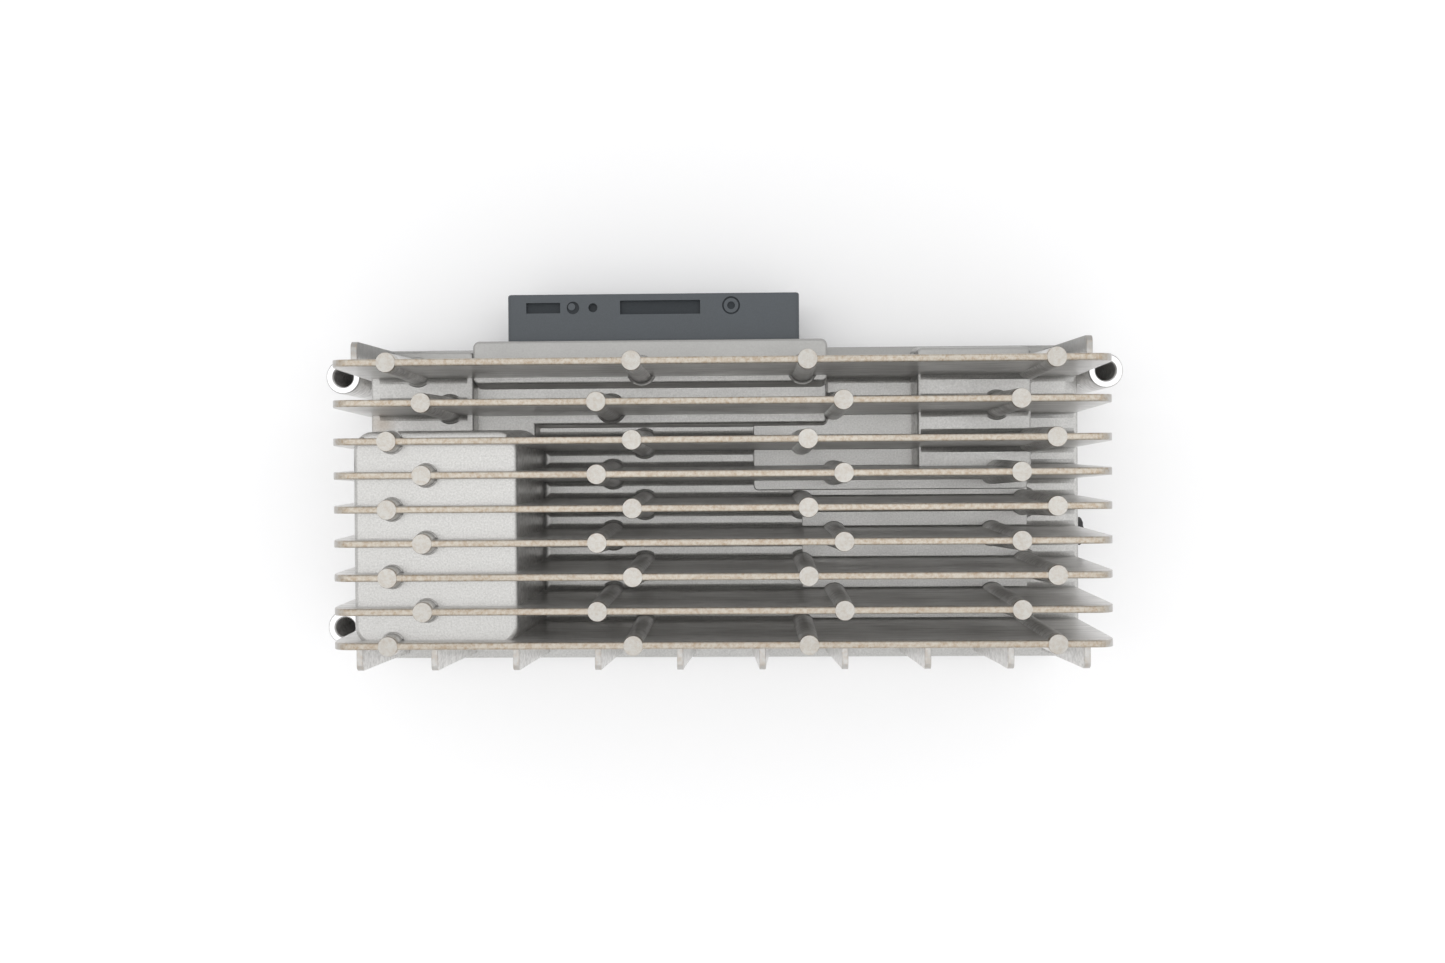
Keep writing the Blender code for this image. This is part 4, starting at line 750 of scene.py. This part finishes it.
def body():
    """Block of the body with a draft, round corners and a round upper edge."""
    data = bmesh.new()
    box = (BODY_LEFT, BODY_RIGHT, BODY_FRONT, BODY_REAR)
    levels = [(RIM, -BODY_DRAFT)]
    for step in range(6):
        angle = math.pi / 2 * step / 5
        levels.append((FLOOR - RIM_DROP - BODY_EDGE * (1 - math.sin(angle)),
                       BODY_EDGE * (1 - math.cos(angle))))
    levels.append((FLOOR, RIM_SLOPE))
    add_levels(data, box, BODY_CORNER, levels, 8)
    return to_object("heat_sink_casting", data)


def mound(name, box, bottom, top, corner=1.5 * MM, lean=1.2 * MM, edge=STEP_ROUND, foot=0.0):
    """Flat raised area with leaning walls and round edges over a plan box."""
    data = bmesh.new()
    add_levels(data, box, corner + foot, rounded_levels(bottom, top, edge, lean, foot))
    return to_object(name, data)


def raised_areas():
    """Tower, plateaus, strip and the low steps of the floor."""
    rear = BODY_REAR - WALL / 2
    low_step = (LOW_STEP_LEFT, LOW_RIGHT, LOW_STEP_FRONT, ROWS[1])
    low_floor = (LOW_FLOOR_LEFT, LOW_RIGHT, BODY_FRONT + WALL, ROWS[1])
    tower_foot = (TOWER_LEFT + WALL, TOWER_RIGHT + 1.3 * MM, TOWER_FRONT + WALL, TOWER_REAR)
    left_plateau = (BODY_LEFT + WALL, COLLAR_LEFT, TOWER_REAR - 2 * WALL, rear)
    right_plateau = (*RIGHT_PLATEAU, ROWS[3], rear)
    strip = (COLLAR_LEFT - WALL, COLLAR_RIGHT, STRIP_FRONT, COLLAR_FRONT + WALL)
    strip_end = (COLLAR_LEFT - WALL, TOWER_RIGHT - 0.5 * MM, TOWER_REAR - WALL,
                 STRIP_FRONT + WALL)
    tower = (TOWER_LEFT, TOWER_RIGHT, TOWER_FRONT, TOWER_REAR)
    return [
        mound("low_step", low_step, FLOOR, FLOOR + 2 * LOW_RISE, lean=0.4 * MM, edge=0.3 * MM),
        mound("low_floor", low_floor, FLOOR, FLOOR + LOW_RISE, lean=0.3 * MM, edge=0.2 * MM),
        mound("tower_foot", tower_foot, FLOOR, FLOOR + LOW_RISE, lean=0.2 * MM, edge=0.2 * MM),
        mound("left_plateau", left_plateau, FLOOR, PLATEAU),
        mound("right_plateau", right_plateau, FLOOR, PLATEAU),
        mound("strip", strip, FLOOR, STRIP),
        mound("strip_end", strip_end, FLOOR, STRIP),
        mound("tower", tower, FLOOR, TOWER_TOP, corner=4.0 * MM, lean=1.6 * MM,
              edge=1.4 * MM, foot=FOOT_ROUND)]


def collar():
    """Collar round the header: a sloped front, round edges and corners."""
    data = bmesh.new()
    middle = (COLLAR_LEFT + COLLAR_RIGHT) / 2
    half = (COLLAR_RIGHT - COLLAR_LEFT) / 2
    slope = 1.2 * MM
    edge = 0.8 * MM
    corner = 2.2 * MM
    rings = []
    heights = [(RIM, -0.3 * MM, 0.0), (STRIP, -0.1 * MM, 0.0)]
    for step in range(5):
        angle = math.pi / 2 * step / 4
        inset = edge * (1 - math.cos(angle))
        heights.append((COLLAR_TOP - edge * (1 - math.sin(angle)), inset, slope))
    for height, inset, back in heights:
        points = outline(middle - half + inset, middle + half - inset,
                         COLLAR_FRONT + inset + back, COLLAR_REAR - inset, corner - inset, 6)
        rings.append([Vector((x, y, height)) for x, y in points])
    loft(data, rings)
    return to_object("collar", data)


def inner_void():
    """The hollow of the casting: boxes that span it, less the CAD solid.

    In turn: body, tower, left plateau, right plateau, strip, collar, header opening, vent hole.
    """
    boxes = [
        ((BODY_LEFT + WALL / 2, BODY_FRONT + WALL / 2, -WALL),
         (BODY_RIGHT - WALL / 2, BODY_REAR - WALL / 2, CEILING + WALL / 2)),
        ((TOWER_LEFT + WALL * 0.9, TOWER_FRONT + WALL * 0.9, CEILING - WALL),
         (TOWER_RIGHT - WALL * 0.9, TOWER_REAR - WALL * 0.9, TOWER_TOP - WALL / 2)),
        ((BODY_LEFT + WALL * 1.5, TOWER_REAR + WALL / 2, CEILING - WALL),
         (COLLAR_LEFT - WALL * 0.7, BODY_REAR - WALL, PLATEAU - WALL / 2)),
        ((RIGHT_PLATEAU[0] + WALL * 0.7, ROWS[3] + WALL, CEILING - WALL),
         (RIGHT_PLATEAU[1] - WALL * 0.7, BODY_REAR - WALL, PLATEAU - WALL / 2)),
        ((COLLAR_LEFT + WALL / 2, STRIP_FRONT + WALL * 0.7, CEILING - WALL),
         (COLLAR_RIGHT - WALL / 2, COLLAR_FRONT + 2 * WALL, STRIP - WALL / 2)),
        ((COLLAR_LEFT + WALL * 0.7, COLLAR_FRONT + WALL * 0.8, -WALL),
         (COLLAR_RIGHT - WALL * 0.7, COLLAR_REAR - WALL / 2, COLLAR_TOP - WALL / 2)),
        ((HEADER[0].x + 4.0 * MM, COLLAR_REAR - WALL, HEADER[0].z),
         (HEADER[1].x - 4.0 * MM, COLLAR_REAR + WALL, HEADER[1].z)),
        ((BODY_RIGHT - WALL, VENT[0].y - MM, VENT[0].z - MM),
         (BODY_RIGHT + WALL, VENT[1].y + MM, VENT[1].z + MM))]
    void = box_solid("void", *boxes[0])
    for low, high in boxes[1:]:
        join(void, box_solid("void_part", low, high))
    cut(void, solid_of("heat_sink_housing", "solid"))
    return void


def mark_faces(made):
    """Second material on the ejector marks, third on the machined rings."""
    for face in made.data.polygons:
        centre = face.center
        flat = abs(face.normal.z) > 0.99
        if flat and centre.z > TOP - 0.02 * MM:
            face.material_index = 1
        elif flat and abs(centre.x) > TUBE_X - TUBE_RADIUS and (
                abs(centre.z - TUBE_TOP) < 0.02 * MM or centre.z < 0.02 * MM):
            face.material_index = 2


def casting():
    """The finned casting: solid pieces joined, holes and hollow cut."""
    made = body()
    rounded_ribs = bevelled(ribs(), RIB_EDGE, 3)
    end = FIN_LENGTH / 2 - FOOT_INSET
    feet = [fin_feet(FLOOR, TOWER_RIGHT, end, ROWS[2:]),
            fin_feet(PLATEAU, BODY_LEFT + 2 * WALL, COLLAR_LEFT - 2 * MM, ROWS[:2]),
            fin_feet(PLATEAU, RIGHT_PLATEAU[0] + MM, RIGHT_PLATEAU[1] - MM, ROWS[:3]),
            fin_feet(FLOOR, COLLAR_RIGHT, end, ROWS[:2])]
    solids = raised_areas() + [collar(), webs(), tubes(), fins(), rounded_ribs, posts()] + feet
    for piece in solids:
        join(made, piece)
    cut(made, bolt_holes())
    cut(made, inner_void())
    finish_piece(made, [LOOKS["cast"], LOOKS["pin mark"], LOOKS["machined"]],
                 ["heat_sink_housing"])
    mark_faces(made)


# ---- pieces that start from the frame's solids ------------------------------------------
def solid_of(node, name):
    """Closed copy of a CAD node's mesh."""
    made = bpy.data.objects.new(name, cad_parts[node].data.copy())
    bpy.context.scene.collection.objects.link(made)
    data = bmesh.new()
    data.from_mesh(made.data)
    bmesh.ops.remove_doubles(data, verts=data.verts, dist=0.001 * MM)
    data.to_mesh(made.data)
    data.free()
    made.data.materials.clear()
    return made


def whole_faces(target):
    """Joins the triangles of each flat face, so that a bevel runs clean along its edges."""
    data = bmesh.new()
    data.from_mesh(target.data)
    bmesh.ops.dissolve_limit(data, angle_limit=math.radians(0.5), verts=data.verts,
                             edges=data.edges, use_dissolve_boundaries=False)
    data.to_mesh(target.data)
    data.free()


def disc(name, centre, radius, low, high):
    """Upright round solid."""
    data = bmesh.new()
    add_turned(data, (centre[0], centre[1], 0.0), [(low, radius), (high, radius)], 32)
    return to_object(name, data)


def sink(made, mark, depth, across=0.0):
    """Round recess in the header's top."""
    place, radius = mark
    centre = (HEADER_LEFT + place, MARK_LINE + across)
    cut(made, disc("sink", centre, radius, HEADER_TOP - depth, HEADER_TOP + WALL))


def pip(made, mark, root, depth):
    """Round pip in a recess; its face lies at the depth, its root below the recess."""
    place, radius = mark
    centre = (HEADER_LEFT + place, MARK_LINE + ROUND_MARK_SHIFT)
    join(made, disc("pip", centre, radius, HEADER_TOP - root, HEADER_TOP - depth))


def header_marks(made):
    """Side lips, two long recesses, a round insert, a hole and a ring mark on the top."""
    for x in (HEADER_LEFT - WALL, HEADER_RIGHT - LIP_WIDTH):
        cut(made, box_solid("lip", (x, COLLAR_REAR + LIP_DEPTH, HEADER_TOP - LIP_DEPTH),
                            (x + WALL + LIP_WIDTH, HEADER_END + WALL, HEADER_TOP + WALL)))
    for start, stop, half in RECESSES:
        low = (HEADER_LEFT + start, MARK_LINE - half, HEADER_TOP - RECESS_DEPTH)
        high = (HEADER_LEFT + stop, MARK_LINE + half, HEADER_TOP + WALL)
        cut(made, box_solid("recess", low, high))
    sink(made, INSERT, depth=0.5 * MM)
    pip(made, PIP, root=0.6 * MM, depth=0.15 * MM)
    sink(made, HOLE, depth=1.3 * MM)
    sink(made, RING, depth=0.5 * MM, across=ROUND_MARK_SHIFT)
    pip(made, RING_CORE, root=0.8 * MM, depth=0.2 * MM)
    sink(made, RING_DOT, depth=0.6 * MM, across=ROUND_MARK_SHIFT)


def key_ribs(made):
    """Low ribs on the floor of the sockets."""
    floor = HEADER[0].z + FLANGE_LIP + SOCKET_WALL
    for x in KEYS:
        join(made, box_solid("key", (x, HEADER_END - KEY_LENGTH, floor - MM),
                             (x + KEY_WIDTH, HEADER_END - MM, floor + KEY_HEIGHT)))


def mark_recess_shade(made):
    """Second material on the sunken faces of the header's top: darker plastic as painted shade in
    the recesses.
    """
    for face in made.data.polygons:
        x, y, z = face.center
        upward = face.normal.z > 0.9
        inside = HEADER_LEFT + WALL < x < HEADER_RIGHT - WALL and COLLAR_REAR < y
        sunken = HEADER_TOP - 1.5 * MM < z < HEADER_TOP - 0.45 * MM
        if upward and inside and sunken and y < HEADER_END - MM:
            face.material_index = 1


def header():
    """Header block with its marks on top and the key ribs in its sockets."""
    made = solid_of("connector_header", "header_moulding")
    header_marks(made)
    key_ribs(made)
    whole_faces(made)
    bevelled(made, HEADER_EDGE)
    finish_piece(made, [LOOKS["header"], LOOKS["header recess shade"]],
                 ["connector_header"])
    mark_recess_shade(made)


def star(centre, axis, radius, depth):
    """Six-lobed drive recess cut along +axis from the centre."""
    data = bmesh.new()
    rings = []
    for distance, scale in ((-0.5 * MM, 1.0), (depth, 0.85)):
        ring = []
        for side in range(12):
            angle = 2 * math.pi * side / 12
            reach = radius * scale * (1.0 if side % 2 == 0 else 0.72)
            u, v = reach * math.cos(angle), reach * math.sin(angle)
            offset = {"Z": (u, v, distance), "Y": (u, distance, v)}[axis]
            ring.append(Vector(centre) + Vector(offset))
        rings.append(ring)
    loft(data, rings)
    return to_object("star", data)


def screws():
    """All screws with a drive recess in their heads, which face down or forward."""
    for prefix, count, axis in SCREWS:
        along = 2 if axis == "Z" else 1
        for number in range(1, count + 1):
            node = prefix + str(number)
            low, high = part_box(node)
            centre = (low + high) / 2
            centre[along] = low[along]
            head = (high.x - low.x) / 2
            made = solid_of(node, node + "_look")
            cut(made, star(centre, axis, head * DRIVE_RADIUS, head * DRIVE_DEPTH))
            whole_faces(made)
            bevelled(made, SCREW_EDGE, 1)
            finish_piece(made, [LOOKS["steel"]], [node])


def bead(y):
    """Long pressed bead with round ends, sunk into the cover's outer face."""
    data = bmesh.new()
    half = BEAD_WIDTH / 2
    box = (-BEAD_LENGTH / 2, BEAD_LENGTH / 2, y - half, y + half)
    add_levels(data, box, half, [(-WALL, -WALL / 2), (0.0, 0.0), (BEAD_DEPTH * 0.6, half * 0.18),
                                 (BEAD_DEPTH, half * 0.5)])
    return to_object("bead", data)


def cover():
    """Cover plate with pressed beads."""
    made = solid_of("bottom_cover", "cover_plate")
    middle = (COVER[0].y + COVER[1].y) / 2
    for offset in BEAD_ROWS:
        cut(made, bead(middle + offset))
    whole_faces(made)
    bevelled(made, COVER_EDGE)
    finish_piece(made, [LOOKS["sheet"]], ["bottom_cover"])


def vent():
    """Vent cap with notches round its rim."""
    made = solid_of("vent_plug", "vent_cap")
    centre = (VENT[0] + VENT[1]) / 2
    radius = (VENT[1].z - VENT[0].z) / 2
    levels = [(VENT[1].x - NOTCH_DEPTH, NOTCH_RADIUS), (VENT[1].x + WALL, NOTCH_RADIUS)]
    for number in range(NOTCH_COUNT):
        angle = 2 * math.pi * number / NOTCH_COUNT
        y = centre.y + radius * math.cos(angle)
        z = centre.z + radius * math.sin(angle)
        data = bmesh.new()
        add_turned(data, (0.0, y, z), levels, 16, "X")
        cut(made, to_object("notch", data))
    whole_faces(made)
    bevelled(made, VENT_EDGE)
    finish_piece(made, [LOOKS["black plastic"]], ["vent_plug"])


# look and edge round, in millimetres, of the nodes that stay as they are
CARRIED = (
    ("cover_gasket", "rubber", 0.1), ("header_seal", "rubber", 0.2), ("vent_seal", "rubber", 0.2),
    ("main_board", "board", 0.05), ("input_transistor", "epoxy", 0.2),
    ("output_transistor", "epoxy", 0.2), ("input_thermal_pad", "pad", 0.1),
    ("output_thermal_pad", "pad", 0.1), ("bus_capacitor", "can", 0.35),
    ("input_capacitor", "can", 0.3), ("interference_capacitor", "film", 0.5),
    ("transformer_core", "ferrite", 0.4), ("transformer_bobbin", "bobbin", 0.2),
    ("primary_winding", "copper", 0.5), ("secondary_winding", "tape", 0.5),
    ("filter_choke_core", "ferrite", 0.4), ("filter_choke_line_winding", "copper", 0.4),
    ("filter_choke_neutral_winding", "copper", 0.4), ("output_choke_core", "ferrite", 0.4),
    ("output_choke_winding", "copper", 0.4), ("control_chip", "epoxy", 0.1),
    ("gate_driver", "epoxy", 0.1), ("output_fuse", "glass", 0.1), ("fuse_clip", "tin", 0.1),
    ("current_shunt", "shunt", 0.1))


def carried_nodes():
    """Materials and rounded edges for the inner nodes, whose meshes stay the frame's."""
    for name, node in sorted(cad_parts.items()):
        for prefix, look, edge in CARRIED:
            if name.startswith(prefix):
                node.data.materials.clear()
                node.data.materials.append(LOOKS[look])
                round_edges(node, edge * MM, 2, 40)


def terminals():
    """Pins in tin and the moulded wafers that hold them in plastic."""
    for name in ("signal_terminals", "power_terminals"):
        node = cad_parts[name]
        node.data.materials.clear()
        node.data.materials.append(LOOKS["tin"])
        node.data.materials.append(LOOKS["black plastic"])
        for face in node.data.polygons:
            rows = [node.data.vertices[index].co.y for index in face.vertices]
            if WAFER[0] < min(rows) and max(rows) < WAFER[1]:
                face.material_index = 1


# ---- stage, light and camera ----------------------------------------------------------
STAGE_REACH = 20.0
STAGE_LEVEL = -0.05 * MM
TENT_STRENGTH = 1.02
PANEL_HEIGHT = 1.3
PANEL_SIZE = (2.2, 0.46)
PANEL_POWER = 3.2
LENS = 29.9                       # millimetres, over a sensor 36 mm wide
SENSOR = 36.0
CAMERA_PLACE = (8.4 * MM, 8.9 * MM, TOP + 360.0 * MM)
CAMERA_TILT = (-0.414, 1.214, -0.393)     # degrees about X, Y and Z


def stage():
    """Pale studio floor."""
    made = surface("pale_floor", (0.93, 0.93, 0.935), 0.9)[0]
    data = bmesh.new()
    corners = ((-STAGE_REACH, -STAGE_REACH), (STAGE_REACH, -STAGE_REACH),
               (STAGE_REACH, STAGE_REACH), (-STAGE_REACH, STAGE_REACH))
    data.faces.new([data.verts.new((x, y, STAGE_LEVEL)) for x, y in corners])
    plane = to_object("studio_floor", data)
    plane.data.materials.append(made)


def softbox():
    """Overhead panel, long along the fins, that shines straight down."""
    light = bpy.data.lights.new("overhead", "AREA")
    light.shape = "RECTANGLE"
    light.size, light.size_y = PANEL_SIZE
    light.energy = PANEL_POWER
    made = bpy.data.objects.new("overhead", light)
    made.location = (0.0, 0.0, PANEL_HEIGHT)
    bpy.context.scene.collection.objects.link(made)


def lighting():
    """White tent all round and the panel above."""
    world = bpy.data.worlds.new("tent")
    world.use_nodes = True
    background = world.node_tree.nodes["Background"]
    background.inputs["Color"].default_value = (1.0, 1.0, 1.0, 1.0)
    background.inputs["Strength"].default_value = TENT_STRENGTH
    bpy.context.scene.world = world
    softbox()
    bpy.context.scene.view_settings.view_transform = "Standard"


def camera():
    """Camera above the fins that looks almost straight down."""
    lens = bpy.data.cameras.new("camera")
    lens.sensor_width = SENSOR
    lens.lens = LENS
    lens.clip_start = 0.01
    made = bpy.data.objects.new("camera", lens)
    made.location = CAMERA_PLACE
    made.rotation_euler = [math.radians(angle) for angle in CAMERA_TILT]
    bpy.context.scene.collection.objects.link(made)
    bpy.context.scene.camera = made


casting()
header()
screws()
cover()
vent()
carried_nodes()
terminals()
stage()
lighting()
camera()
